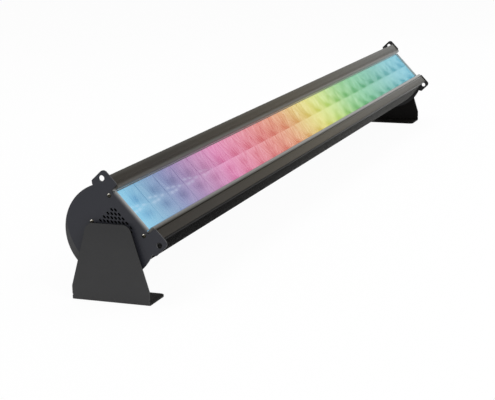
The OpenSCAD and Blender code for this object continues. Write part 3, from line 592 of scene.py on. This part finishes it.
def cell_shadows(g, x, y, u, v, aside, left):
    """A soft spot in each cell at the left end, and a darker lower edge with a pit toward the right."""
    across = g.times(g.absolute(y), 1 / (LIP_HALF * MM))
    spot = g.times(g.hump(u, 0.64, 0.26, across, 0.38, 0.24), 0.60)
    corner = g.times(g.hump(u, 0.40, 0.28, v, 0.9, 0.36), 0.42)
    pit = g.times(g.hump(u, 0.55, 0.18, v, 0.95, 0.24), g.fit_mm(x, 0.2, 1.25, -300, 500))
    slope = g.times(g.math("POWER", v, 1.6), g.fit(aside, 0.37, 0.27, 0, 0.5))
    low = g.math("ADD", g.math("ADD", corner, pit), slope)
    middle = g.times(g.fit_mm(x, 0.95, 0.0, -480, 300), g.fit_mm(y, 1, 0.25, -1, 1))
    right = g.math("SUBTRACT", 1.0, left)
    tone = g.math("MULTIPLY_ADD", g.math("MAXIMUM", left, middle), spot, g.times(right, low))
    return g.math("MULTIPLY_ADD", middle, -0.2, tone)


def cell_streaks(g, y, number, v, fan):
    """Fine streaks that fan out upward from a point below each cell, different in each cell and row."""
    row = g.times(g.math("SIGN", y), 3.1)
    along = g.math("MULTIPLY_ADD", fan, 9, g.math("FLOOR", number))
    spread = g.add("ShaderNodeCombineXYZ", {"X": along, "Y": row, "Z": g.times(v, 0.7)}).outputs[0]
    return g.noise(scale=1.6, detail=4, vector=spread, rough=0.6)


def cell_edges(g, x, y, left):
    """The ends of the window are a little darker, painted shade beside the end plates, and at the left end
    so is its lower edge, a painted shadow of the lower rail's bead.
    """
    lower = g.fit_mm(y, 0.85, 0, -LIP_HALF, -0.92 * LIP_HALF)
    ends = g.fit_mm(g.absolute(x), 0, 0.3, 892, 907)
    return g.math("MAXIMUM", g.times(lower, left), ends)


def cell_glints(g, y, u, left):
    """Small pale glints beside the line between the rows, at the left end."""
    across = g.times(y, 1 / (LIP_HALF * MM))
    glints = 0.0
    for at, off in GLINTS:
        glints = g.math("ADD", glints, g.hump(u, at, 0.10, across, off, 0.06))
    return g.times(glints, g.times(left, 0.24))


def cell_colour(g, x, tone):
    """The light's own colour at that place along the head, deeper or paler by tone."""
    reach = RAINBOW_HALF * RAINBOW_STEP
    stops = [((at + RAINBOW_HALF) / (2 * RAINBOW_HALF), colour) for at, colour in RAINBOW]
    hue = g.ramp(g.fit_mm(x, 0, 1, -reach, reach), stops)
    deep = g.add("ShaderNodeGamma", {"Color": hue, "Gamma": 1.9}).outputs[0]
    pale = g.add("ShaderNodeGamma", {"Color": hue, "Gamma": 0.7}).outputs[0]
    colour = g.mix(g.fit(tone, 0, 1), hue, deep)
    return g.mix(g.fit(tone, 0.9, 0, -0.6, 0), colour, pale)


def lit_cells(name):
    """Diffusing cells lit from behind: the colour changes along the head, under each cell's own shadows."""
    g = Graph(name)
    x, y, _ = g.axes()
    # the whole numbers added here and for v keep both above 0
    number = g.math("MULTIPLY_ADD", x, 1 / (CELL_PITCH * MM), 100)
    u = g.math("FRACT", number)
    v = g.math("FRACT", g.math("MULTIPLY_ADD", y, -1 / (LIP_HALF * MM), 2))
    aside = g.absolute(g.math("SUBTRACT", u, 0.5))
    left = g.fit_mm(x, 1, 0, -700, -480)
    fan = g.math("DIVIDE", g.math("SUBTRACT", u, 0.5), g.math("SUBTRACT", 1.7, v))
    streaks = cell_streaks(g, y, number, v, fan)
    ripple = g.math("SINE", g.math("MULTIPLY_ADD", fan, 38, g.times(streaks, 9)))
    seam = g.fit(aside, 0, 1, 0.482, 0.496)
    seam_depth = g.times(g.fit_mm(x, 0.9, 0.3, -700, 200), g.fit_mm(y, 0.6, 1, -1, 1))
    tone = cell_shadows(g, x, y, u, v, aside, left)
    for amount, strength in ((g.fit_mm(x, 0.16, 0.5, -650, -250), g.fit(streaks, -1.0, 1.1, 0.36, 0.64)),
                             (ripple, g.fit_mm(x, 0.0, 0.17, -400, 400)), (seam, seam_depth)):
        tone = g.math("MULTIPLY_ADD", amount, strength, tone)
    tone = g.math("ADD", tone, cell_edges(g, x, y, left))
    colour = g.mix(cell_glints(g, y, u, left), cell_colour(g, x, tone), (0.75, 0.86, 1.0))
    g.set(Base_Color=(0.02, 0.02, 0.02, 1), Roughness=0.5, Specular_IOR_Level=0.0,
          Emission_Color=colour, Emission_Strength=1.0)
    g.bump(streaks, distance=0.0002, strength=0.4)
    return g.mat


SLATE = (0.0215, 0.0225, 0.0295)
CHARCOAL = (0.042, 0.042, 0.043)
WARM_GREY = (0.0165, 0.0135, 0.0095)
LOOKS = {
    # colour, roughness, specular level, marks, inside, upright
    "plate_slate": (powder_coat, SLATE, 0.45, 0.3, plate_marks, plate_inside),
    "foot_grey": (powder_coat, CHARCOAL, 0.55, 0.1, foot_marks, foot_inside, True),
    "panel_slate": (powder_coat, (0.028, 0.029, 0.033), 0.5, 0.35),
    # colour, roughness, specular level, marks
    "housing_black": (extruded, (0.0015, 0.0015, 0.0015), 0.45, 0.0105, housing_marks),
    "rail_grey": (extruded, WARM_GREY, 0.30, 0.045, rail_marks),
    "rail_side": (extruded, (0.004, 0.0035, 0.003), 0.4, 0.003, side_marks),
    # colour, roughness, scale of the lines along each axis, marks
    "screw_steel": (bare_metal, (0.92, 0.88, 0.78), 0.25, (300, 300, 300), screw_marks),
    "steel_plain": (bare_metal, (0.58, 0.59, 0.60), 0.35, (400, 200, 200)),
    "bare_aluminium": (bare_metal, (0.74, 0.75, 0.76), 0.35, (6, 900, 900), duct_marks),
    "supply_metal": (bare_metal, (0.62, 0.63, 0.64), 0.4, (60, 400, 400)),
    "screw_black": (bare_metal, (0.05, 0.05, 0.05), 0.4, (500, 500, 500)),
    # colour, roughness, specular level, scale of the grain
    # the seal's pale grey is partly its own colour and partly painted light, lifting the shade beside the
    # window
    "seal_rubber": (plastic, (0.25, 0.25, 0.245), 0.8, 0.2),
    "washer_fibre": (plastic, (0.025, 0.023, 0.021), 0.85, 0.2, 900),
    "fan_black": (plastic, (0.006, 0.006, 0.006), 0.6, 0.2),
    "bush_nylon": (plastic, (0.72, 0.70, 0.62), 0.5, 0.5),
    "inlet_blue": (plastic, (0.02, 0.11, 0.42), 0.45, 0.25),
    "outlet_grey": (plastic, (0.33, 0.34, 0.36), 0.45, 0.25),
    "socket_black": (plastic, (0.008, 0.008, 0.009), 0.5, 0.15),
    "button_grey": (plastic, (0.20, 0.20, 0.21), 0.5, 0.3),
    "display_glass": (plastic, (0.004, 0.007, 0.012), 0.12, 0.12, 200),
    # colour
    "board_green": (board_mask, (0.02, 0.15, 0.06)),
    "board_white": (board_mask, (0.75, 0.75, 0.72)),
    "lit_cells": (lit_cells,),
    "clear_sheet": (clear_sheet,),
}
MATS = {name: make(name, *look) for name, (make, *look) in LOOKS.items()}


# The head's outside

def flank(s, depth):
    """The point of the housing's flank at distance s from its shoulder, depth below its outline."""
    rise = HOUSING_R - SHOULDER_HALF
    flank_r = (rise * rise + SHOULDER_Z * SHOULDER_Z) / (2 * rise)
    length = flank_r * math.asin(SHOULDER_Z / flank_r)
    if s < length:
        a = (length - s) / flank_r
        return (HOUSING_R - flank_r + (flank_r - depth) * math.cos(a), (flank_r - depth) * math.sin(a))
    a = -(s - length) / HOUSING_R
    return ((HOUSING_R - depth) * math.cos(a), (HOUSING_R - depth) * math.sin(a))


def ribbed_flank():
    """The right flank with its ribs, from the inside of the shoulder down to the plain back."""
    rib_h, rib_t, pitch = 4.5, 2.2, 5.6
    below_widest = 38
    last_rib = FLANK_RUN + HOUSING_R * math.radians(below_widest)
    half_gap = (pitch - rib_t) / 2
    corners = [(0, HOUSING_WALL, 0.4), (0, 0, 0.6)]
    s = rib_t + half_gap
    while s <= last_rib:
        corners += [(s - half_gap, 0, 0.8), (s - half_gap, rib_h, 0.7),
                    (s + half_gap, rib_h, 0.7), (s + half_gap, 0, 0.8)]
        s += pitch
    # the rounding needs two more corners beside these, which are dropped after it
    end = s - pitch + half_gap + 3
    corners += [(end, 0, 0), (end, HOUSING_WALL, 0)]
    return [flank(along, depth) for along, depth in rounded(corners, 3)][:-2]


def housing_outline():
    """The housing's profile, open at the window: ribbed flanks, a round belly and a flat back."""
    outer = ribbed_flank()
    back_half = math.sqrt(HOUSING_R ** 2 - BACK_Z ** 2)
    start = math.degrees(math.atan2(outer[-1][1], outer[-1][0]))
    end = math.degrees(math.atan2(-BACK_Z, back_half))
    outer += arc(0, 0, HOUSING_R, start, end, 10)[1:-1]
    outer += [(back_half - 1.5, -BACK_Z + 0.3), (back_half - 3, -BACK_Z)]  # a soft corner
    in_r = HOUSING_R - HOUSING_WALL
    in_back = BACK_Z - BACK_WALL
    in_end = math.degrees(math.atan2(-in_back, math.sqrt(in_r ** 2 - in_back ** 2)))
    inner = [flank(FLANK_RUN * k / 6, HOUSING_WALL) for k in range(7)] + arc(0, 0, in_r, 0, in_end, 10)[1:]
    inner.reverse()
    loop = outer + mirrored(outer) + mirrored(inner) + inner
    clean = [loop[0]]
    for p in loop[1:]:
        if math.dist(p, clean[-1]) > 0.01:
            clean.append(p)
    return clean


def cut_opening(obj):
    """Cuts the opening behind the service panel into the housing."""
    length, width, depth = 296, 66, 20
    cut = bmesh.new()
    bmesh.ops.create_cube(cut, size=1)
    for v in cut.verts:
        v.co = (v.co.x * length * MM, v.co.y * width * MM, v.co.z * depth * MM - BACK_Z * MM)
    cut.transform(HEAD)
    cutter = add_object("cutter", to_mesh("cutter", cut))
    mod = obj.modifiers.new("opening", "BOOLEAN")
    mod.operation = "DIFFERENCE"
    mod.solver = "EXACT"
    mod.object = cutter
    bpy.context.view_layer.update()
    done = bpy.data.meshes.new_from_object(obj.evaluated_get(bpy.context.evaluated_depsgraph_get()))
    obj.modifiers.clear()
    obj.data = done
    bpy.data.objects.remove(cutter)


def housing():
    bm = extrusion([housing_outline()], PLATE_INNER)
    obj = piece("housing_shell", bm, "housing_black", "head", ["housing"], sharp=40)
    cut_opening(obj)


def rail_outline(groove_z):
    """A rail's profile: the grip round the pane, a tongue, two side grooves, a top groove and the bead."""
    grip = WINDOW_HALF + PANE_GRIP + 0.3
    tongue, tongue_t, tongue_z = 60.9, 2.4, 46
    groove_out, groove_in = 53.4, 52.2
    side_in = RAIL_OUT - 1
    bead_y, bead_z, bead_r = 47.8, 62.6, 4.8
    outer = rounded([
        (WINDOW_HALF, WINDOW_TOP, 0.3), (grip, WINDOW_TOP, 0.2), (grip, SEAL_Z, 0.2),
        (WINDOW_HALF, SEAL_Z, 0.3), (WINDOW_HALF, SHOULDER_Z, 0.3), (tongue - tongue_t, SHOULDER_Z, 0.2),
        (tongue - tongue_t, tongue_z, 0.4), (tongue, tongue_z, 0.4), (tongue, SHOULDER_Z, 0.2),
        (RAIL_OUT, SHOULDER_Z, 0.4),
        (RAIL_OUT, 59.0, 0.25), (side_in, 59.0, 0.2), (side_in, 60.3, 0.2), (RAIL_OUT, 60.3, 0.25),
        (RAIL_OUT, 63.2, 0.25), (side_in, 63.2, 0.2), (side_in, 64.5, 0.2), (RAIL_OUT, 64.5, 0.25),
        (RAIL_OUT, RAIL_TOP, 1.0), (groove_out, RAIL_TOP, 0.45), (groove_out, groove_z, 0.3),
        (groove_in, groove_z, 0.2)], 3)
    start = math.degrees(math.asin((groove_z - bead_z) / bead_r))
    return outer + arc(bead_y, bead_z, bead_r, start, 180, 14)


def rail(name, side, node):
    """A rail whose outer side has a look of its own. The lower rail's top groove is deeper."""
    groove_z = 64.9 if side < 0 else 66.9
    hollow = rectangle(56.2, 52.5, 67.2, 65.0, 1, 3)
    bm = extrusion([rail_outline(groove_z), hollow], PLATE_INNER, side)
    side_y, side_top = (RAIL_OUT - 1.3) * MM, (RAIL_TOP - 0.2) * MM
    for face in bm.faces:
        at = face.calc_center_median()
        if side * at.y > side_y and at.z < side_top and abs(face.normal.x) < 0.5:
            face.material_index = 1
    obj = piece(name, bm, "rail_grey", "head", [node], sharp=40)
    obj.data.materials.append(MATS["rail_side"])


def vent_slots():
    """Staggered rows of slots, without those that at their CAD size come too near the pivot."""
    rows, top_z, row_step, slot_step = 10, 35.5, 5, 10
    length, width = 6.6, 3.6
    cad_length, cad_width, clear = 5.5, 2.5, 11.6
    slots = []
    for row in range(rows):
        z = top_z - row_step * row
        stagger = slot_step // 2 * (row % 2)
        for k in range(-3 if stagger else -2, 3):
            y = slot_step * k + stagger
            if math.hypot(max(abs(y) - cad_length / 2, 0), max(abs(z) - cad_width / 2, 0)) > clear:
                slots.append(slot_outline(y, z, length, width))
    return slots


def plate_outline():
    """The end plate with its lip still flat: two ears, the lip between them, and a round back."""
    ear_in, ear_top, ear_low = 48.5, 69.3, 37.9
    ear_foot_out, ear_foot_in = 79.2, 77.6
    lip_end = LIP_START + LIP_DEPTH - LIP_BEND + LIP_BEND * math.pi / 2
    notch_z = LIP_START - 1.2
    low = math.degrees(math.atan2(PLATE_LOW_Z, math.sqrt(PLATE_R ** 2 - PLATE_LOW_Z ** 2)))
    right = rounded([
        (0, lip_end, 0), (LIP_HALF, lip_end, 0.3), (LIP_HALF, LIP_START, 0.0),
        (LIP_HALF + 0.1, notch_z, 0.9), (ear_in, notch_z, 1.2), (ear_in, ear_top, 4), (PLATE_R, ear_top, 8),
        (PLATE_R, ear_low, 1.2), (ear_foot_out, PLATE_LOW_Z, 0.8), (ear_foot_in, PLATE_LOW_Z, 0)], 6)[1:]
    half = right + arc(0, 0, PLATE_R, low, -90, 60)[1:]
    return half + mirrored(half)


def end_plate(name, side, node):
    """A sheet with holes for the pivot, the ears and the screws, and a lip bent inward over the window."""
    pivot_r, ear_r, screw_r = 8.12, 5.2, 2.15
    holes = [circle(0, 0, pivot_r, 24)]
    for s in (-1, 1):
        holes.append(circle(s * EAR_HOLE[0], EAR_HOLE[1], ear_r, 28))
        holes += [circle(s * y, z, screw_r, 12) for y, z in SCREW_HOLES]
    bm = slab([plate_outline()] + holes + vent_slots(), PLATE_T)
    bend_len = LIP_BEND * math.pi / 2
    cut_across(bm, [LIP_START + bend_len * k / BEND_STEPS for k in range(BEND_STEPS + 1)])

    def fold(y, s, w):
        # w runs from the outer face to the inner one
        if s <= LIP_START or abs(y) > LIP_HALF + 0.3:
            return (side * (HALF_LEN - w), y, s)
        x, rise = bent(HALF_LEN, LIP_BEND, s - LIP_START, w)
        return (side * x, y, LIP_START + rise)

    place(bm, fold)
    piece(name, bm, "plate_slate", "head", [node], sharp=50, bevel=0.35)


def foot(name, side, node, body):
    """A tapered upright with a notch at each end of its bend, and a flange turned inward on the floor."""
    top, kink_z, half, top_half = 138.5, 25, 73, 39.5
    notch_z, notch_half, notch_depth = 9, 1.4, 1.4
    bend, depth = 3.4, 66
    bend_len = bend * math.pi / 2
    low = bend - bend_len
    flange_end = low - (depth - bend)
    hole_row = low - (depth / 2 - bend)
    right = rounded([
        (0, top, 0), (top_half, top, 16), (half, kink_z, 3), (half, notch_z + notch_half, 0.0),
        (half - notch_depth, notch_z, 0.6), (half, notch_z - notch_half, 0.0), (half, flange_end, 10),
        (0, flange_end, 0)], 10)[1:-1]
    clamp_r, floor_r, floor_y = 6.5, 4.5, 50
    holes = [circle(0, hole_row, clamp_r, 28)]
    holes += [circle(s * floor_y, hole_row, floor_r, 24) for s in (-1, 1)]
    bm = slab([right + mirrored(right)] + holes, FOOT_T)
    cut_across(bm, [low + bend_len * k / BEND_STEPS for k in range(BEND_STEPS + 1)])

    def fold(y, s, w):
        if s >= bend:
            return (side * (FOOT_OUT - w), y, s)
        x, drop = bent(FOOT_OUT, bend, bend - s, w)
        return (side * x, y, bend - drop)

    place(bm, fold)
    piece(name, bm, "foot_grey", body, [node], sharp=50, matrix=FLOOR_FRAME, bevel=0.45)


def window():
    half = WINDOW_HALF + PANE_GRIP
    bm = extrusion([rectangle(-half, WINDOW_LOW, half, WINDOW_TOP, 0.4, 3)], PANE_END)
    piece("window_pane", bm, "clear_sheet", "head", ["window_sheet"], sharp=40)


# Light trays

def cell_height(u, v):
    """A cell's height above its rim, in millimetres, with u and v from -1 to 1 across it."""
    pillow = (1 - abs(u) ** 2.6) * (1 - abs(v) ** 2.6)
    dimple = math.exp(-((u * 1.9) ** 2 + (v * 1.9) ** 2))
    return -2.6 * pillow + 1.1 * dimple


def cell_lines(start, end):
    """The grid lines of one cell, between its walls."""
    wall, steps = 0.6, 12
    mid = (start + end) / 2
    half = (end - start) / 2 - wall
    return [mid + half * (2 * k / steps - 1) for k in range(steps + 1)]


def grid_lines(cells):
    """The grid lines of a row of cells, given as (start, end), with those of their walls."""
    return sorted({round(v, 4) for a, b in cells for v in [a, b] + cell_lines(a, b)})


def across_cell(value, cells):
    """Where a value lies in the cell round it, from -1 to 1, or None on a wall."""
    for a, b in cells:
        line = cell_lines(a, b)
        if line[0] <= value + 1e-3 and value - 1e-3 <= line[-1]:
            return (value - line[0]) / (line[-1] - line[0]) * 2 - 1
    return None


def tray_cells(index):
    """The (start, end) of a tray's cells along the head, with a gap at each end of the tray."""
    gap = 0.2
    length = TRAY_CELLS * CELL_PITCH
    x0 = (index - (TRAY_COUNT + 1) / 2) * length - length / 2
    cells = [[x0 + k * CELL_PITCH, x0 + (k + 1) * CELL_PITCH] for k in range(TRAY_CELLS)]
    cells[0][0] += gap
    cells[-1][1] -= gap
    return cells


def tray(index):
    """One reflector tray: four by two diffusing cells with thin walls between them."""
    xs = tray_cells(index)
    ys = [(-LIP_HALF, 0), (0, LIP_HALF)]
    wall_z, rim_z, base_z = 0.35, TRAY_TOP - 0.4, TRAY_TOP - 5

    def height(x, y):
        u, v = across_cell(x, xs), across_cell(y, ys)
        return rim_z + (wall_z if u is None or v is None else cell_height(u, v))

    bm = bmesh.new()
    grid_x, grid_y = grid_lines(xs), grid_lines(ys)
    top = [[bm.verts.new((x, y, height(x, y))) for y in grid_y] for x in grid_x]
    base = [[bm.verts.new((x, y, base_z)) for y in grid_y] for x in grid_x]
    last_i, last_j = len(grid_x) - 1, len(grid_y) - 1
    for i in range(last_i):
        for j in range(last_j):
            bm.faces.new((top[i][j], top[i + 1][j], top[i + 1][j + 1], top[i][j + 1]))
            bm.faces.new((base[i][j], base[i][j + 1], base[i + 1][j + 1], base[i + 1][j]))
    for i in range(last_i):
        for j in (0, last_j):
            bm.faces.new((top[i][j], top[i + 1][j], base[i + 1][j], base[i][j]))
    for j in range(last_j):
        for i in (0, last_i):
            bm.faces.new((top[i][j], top[i][j + 1], base[i][j + 1], base[i][j]))
    place(bm)
    node = f"light_tray_{index}"
    piece(f"cell_tray_{index}", bm, "lit_cells", "head", [node], sharp=60)


# End plate screws

def screw_head():
    """A domed screw head with a hexagon recess, its seat at height 0."""
    steps, head_r, rise, flat_r = 24, 3.8, 2.4, 1.75
    dome_r = (head_r ** 2 + rise ** 2) / (2 * rise)
    bm = bmesh.new()
    circles = [(head_r - 0.1, 0.0), (head_r, 0.25)]
    for k in range(1, 7):
        r = head_r - (head_r - flat_r) * k / 6
        circles.append((r, rise - dome_r + math.sqrt(dome_r ** 2 - r ** 2)))
    rings = [ring(bm, r, z, steps) for r, z in circles]
    rings.append(ring(bm, 1.55, circles[-1][1] - 0.1, steps, hexagon=True))
    rings.append(ring(bm, 1.5, 0.9, steps, hexagon=True))
    skin(bm, rings, steps)
    bm.faces.new(rings[-1])
    bm.faces.new(list(reversed(rings[0])))
    return bm


def on_plate(bm, side, y, z, out=0):
    """Sets a part that is turned round Z on the outer face of an end plate."""
    for v in bm.verts:
        v.co = Vector((side * (HALF_LEN + out + v.co.z), y + v.co.x, z + v.co.y))
    return bm


def end_screws(name, side, node):
    shank = [(0, 0), (2, 0), (2, -14), (1.4, -14.6), (0, -14.6)]
    parts = []
    for s in (-1, 1):
        for y, z in SCREW_HOLES:
            parts.append(on_plate(screw_head(), side, s * y, z))
            parts.append(on_plate(lathe(shank, 16), side, s * y, z, out=0.02))
    bm = joined(parts)
    place(bm)
    piece(name, bm, "screw_steel", "head", [node], sharp=40)


# The service panel on the back

def panel():
    """The flat cover, with openings for four sockets, four buttons and the display."""
    half_x, half_y, thick = 158, 40, 2
    socket_r, button_r, screw_r, screw_y = 11.8, 3.9, 1.65, 36.5
    sockets = [circle(x, 0, socket_r, 32) for x in (-128, -92, 92, 128)]
    buttons = [circle(x, 0, button_r, 24) for x in (17, 29, 41, 53)]
    display = rectangle(-50.3, -11.3, 2.3, 11.3, 1, 4)
    screws = [circle(x, s * screw_y, screw_r, 12) for x in (-153, 0, 153) for s in (-1, 1)]
    outline = rectangle(-half_x, -half_y, half_x, half_y, 4, 6)
    bm = slab([outline] + sockets + buttons + [display] + screws, thick)
    place(bm, lambda x, y, w: (x, y, -BACK_Z - w))
    piece("panel_cover", bm, "panel_slate", "head", ["service_panel"], sharp=50, bevel=0.3)


# Nodes whose CAD shape stays

def dress_cad():
    """Gives each CAD node that still shows the look of its material slot."""
    for sub in frame["record"]["subparts"]:
        obj = frame["nodes"][sub["node"]]
        if obj.hide_render:
            continue
        material = MATS[sub["material_slot"]]
        for slot in obj.material_slots:
            slot.material = material


# Stage, in metres

FLOOR_HALF = 30
FLOOR_GREY = (0.8, 0.8, 0.8, 1)
FLOOR_SEEN = 0.95
WHITE = (1, 1, 1, 1)
WORLD_LIGHT = 0.55


def seen_directly(tree):
    """1 for rays that the camera, a glossy surface or a clear one sends, where the stage is plain white."""
    path = tree.nodes.new("ShaderNodeLightPath")
    total = path.outputs["Is Camera Ray"]
    for name in ("Is Glossy Ray", "Is Transmission Ray"):
        add = tree.nodes.new("ShaderNodeMath")
        add.operation = "MAXIMUM"
        tree.links.new(total, add.inputs[0])
        tree.links.new(path.outputs[name], add.inputs[1])
        total = add.outputs[0]
    return total


def mixed_shaders(tree, factor, first, second):
    mix = tree.nodes.new("ShaderNodeMixShader")
    for source, socket in zip((factor, first.outputs[0], second.outputs[0]), mix.inputs):
        tree.links.new(source, socket)
    return mix.outputs[0]


def floor_material():
    """Pale grey that takes the object's shadow, under a white that the seeing rays get most of."""
    mat = bpy.data.materials.new("floor")
    mat.use_nodes = True
    tree = mat.node_tree
    tree.nodes.remove(tree.nodes["Principled BSDF"])
    diffuse = tree.nodes.new("ShaderNodeBsdfDiffuse")
    diffuse.inputs["Color"].default_value = FLOOR_GREY
    white = tree.nodes.new("ShaderNodeEmission")
    level = tree.nodes.new("ShaderNodeMath")
    level.operation = "MULTIPLY"
    level.inputs[1].default_value = FLOOR_SEEN
    tree.links.new(seen_directly(tree), level.inputs[0])
    mixed = mixed_shaders(tree, level.outputs[0], diffuse, white)
    tree.links.new(mixed, tree.nodes["Material Output"].inputs["Surface"])
    return mat


def floor():
    bm = bmesh.new()
    corners = ((-1, -1), (1, -1), (1, 1), (-1, 1))
    bm.faces.new([bm.verts.new((x * FLOOR_HALF, y * FLOOR_HALF, 0)) for x, y in corners])
    mesh = to_mesh("floor", bm)
    mesh.materials.append(floor_material())
    obj = add_object("floor", mesh)


def world():
    scene = bpy.context.scene
    scene.view_settings.view_transform = "Standard"
    studio = bpy.data.worlds.new("studio")
    scene.world = studio
    studio.use_nodes = True
    tree = studio.node_tree
    light = tree.nodes["Background"]
    light.inputs["Color"].default_value = WHITE
    light.inputs["Strength"].default_value = WORLD_LIGHT
    seen = tree.nodes.new("ShaderNodeBackground")
    seen.inputs["Color"].default_value = WHITE
    mixed = mixed_shaders(tree, seen_directly(tree), light, seen)
    tree.links.new(mixed, tree.nodes["World Output"].inputs["Surface"])


def lamp(name, at, target, size, power):
    data = bpy.data.lights.new(name, "AREA")
    data.shape = "RECTANGLE"
    data.size, data.size_y = size
    data.energy = power
    obj = add_object(name, data)
    obj.location = at
    obj.rotation_euler = (Vector(target) - Vector(at)).to_track_quat("-Z", "Y").to_euler()


def lamps():
    lamp("key", at=(-2.2, -2.4, 2.6), target=(-0.2, 0, 0.1), size=(2.0, 2.0), power=55)
    lamp("fill", at=(1.8, -2.6, 1.8), target=(0.3, 0, 0.1), size=(2.4, 1.6), power=30)
    lamp("top", at=(0, 0.6, 3.0), target=(0, 0, 0.1), size=(3.0, 1.6), power=40)
    lamp("kicker", at=(2.9, -0.45, 0.75), target=(0.6, 0, 0.15), size=(1.0, 0.5), power=2.5)


# The camera, solved from the photograph
CAMERA_AT = (-2.9337, -1.0272, 0.7080)
CAMERA_BACK = (-0.90672152, -0.35303295, 0.23070289)
CAMERA_ROLL = -1.352
FOCAL_LENGTH = 100.13
SENSOR_WIDTH = 36


def camera():
    data = bpy.data.cameras.new("camera")
    data.sensor_width = SENSOR_WIDTH
    data.lens = FOCAL_LENGTH
    data.clip_start = 0.05
    data.clip_end = 100
    obj = add_object("camera", data)
    back = Vector(CAMERA_BACK)
    level_right = Vector((0, 0, 1)).cross(back).normalized()
    level_up = back.cross(level_right)
    roll = math.radians(CAMERA_ROLL)
    right = level_right * math.cos(roll) + level_up * math.sin(roll)
    turn = Matrix((right, back.cross(right), back)).transposed().to_4x4()
    obj.matrix_world = Matrix.Translation(CAMERA_AT) @ turn
    bpy.context.scene.camera = obj


camera()
world()
lamps()
floor()
housing()
rail("rail_lower_trim", -1, "rail_lower")
rail("rail_upper_trim", 1, "rail_upper")
end_plate("end_cap_left", -1, "end_plate_left")
end_plate("end_cap_right", 1, "end_plate_right")
foot("foot_sheet_left", -1, "foot_left", "stand_left")
foot("foot_sheet_right", 1, "foot_right", "stand_right")
window()
for i in range(1, TRAY_COUNT + 1):
    tray(i)
end_screws("cap_screws_left", -1, "end_screws_left")
end_screws("cap_screws_right", 1, "end_screws_right")
panel()
dress_cad()
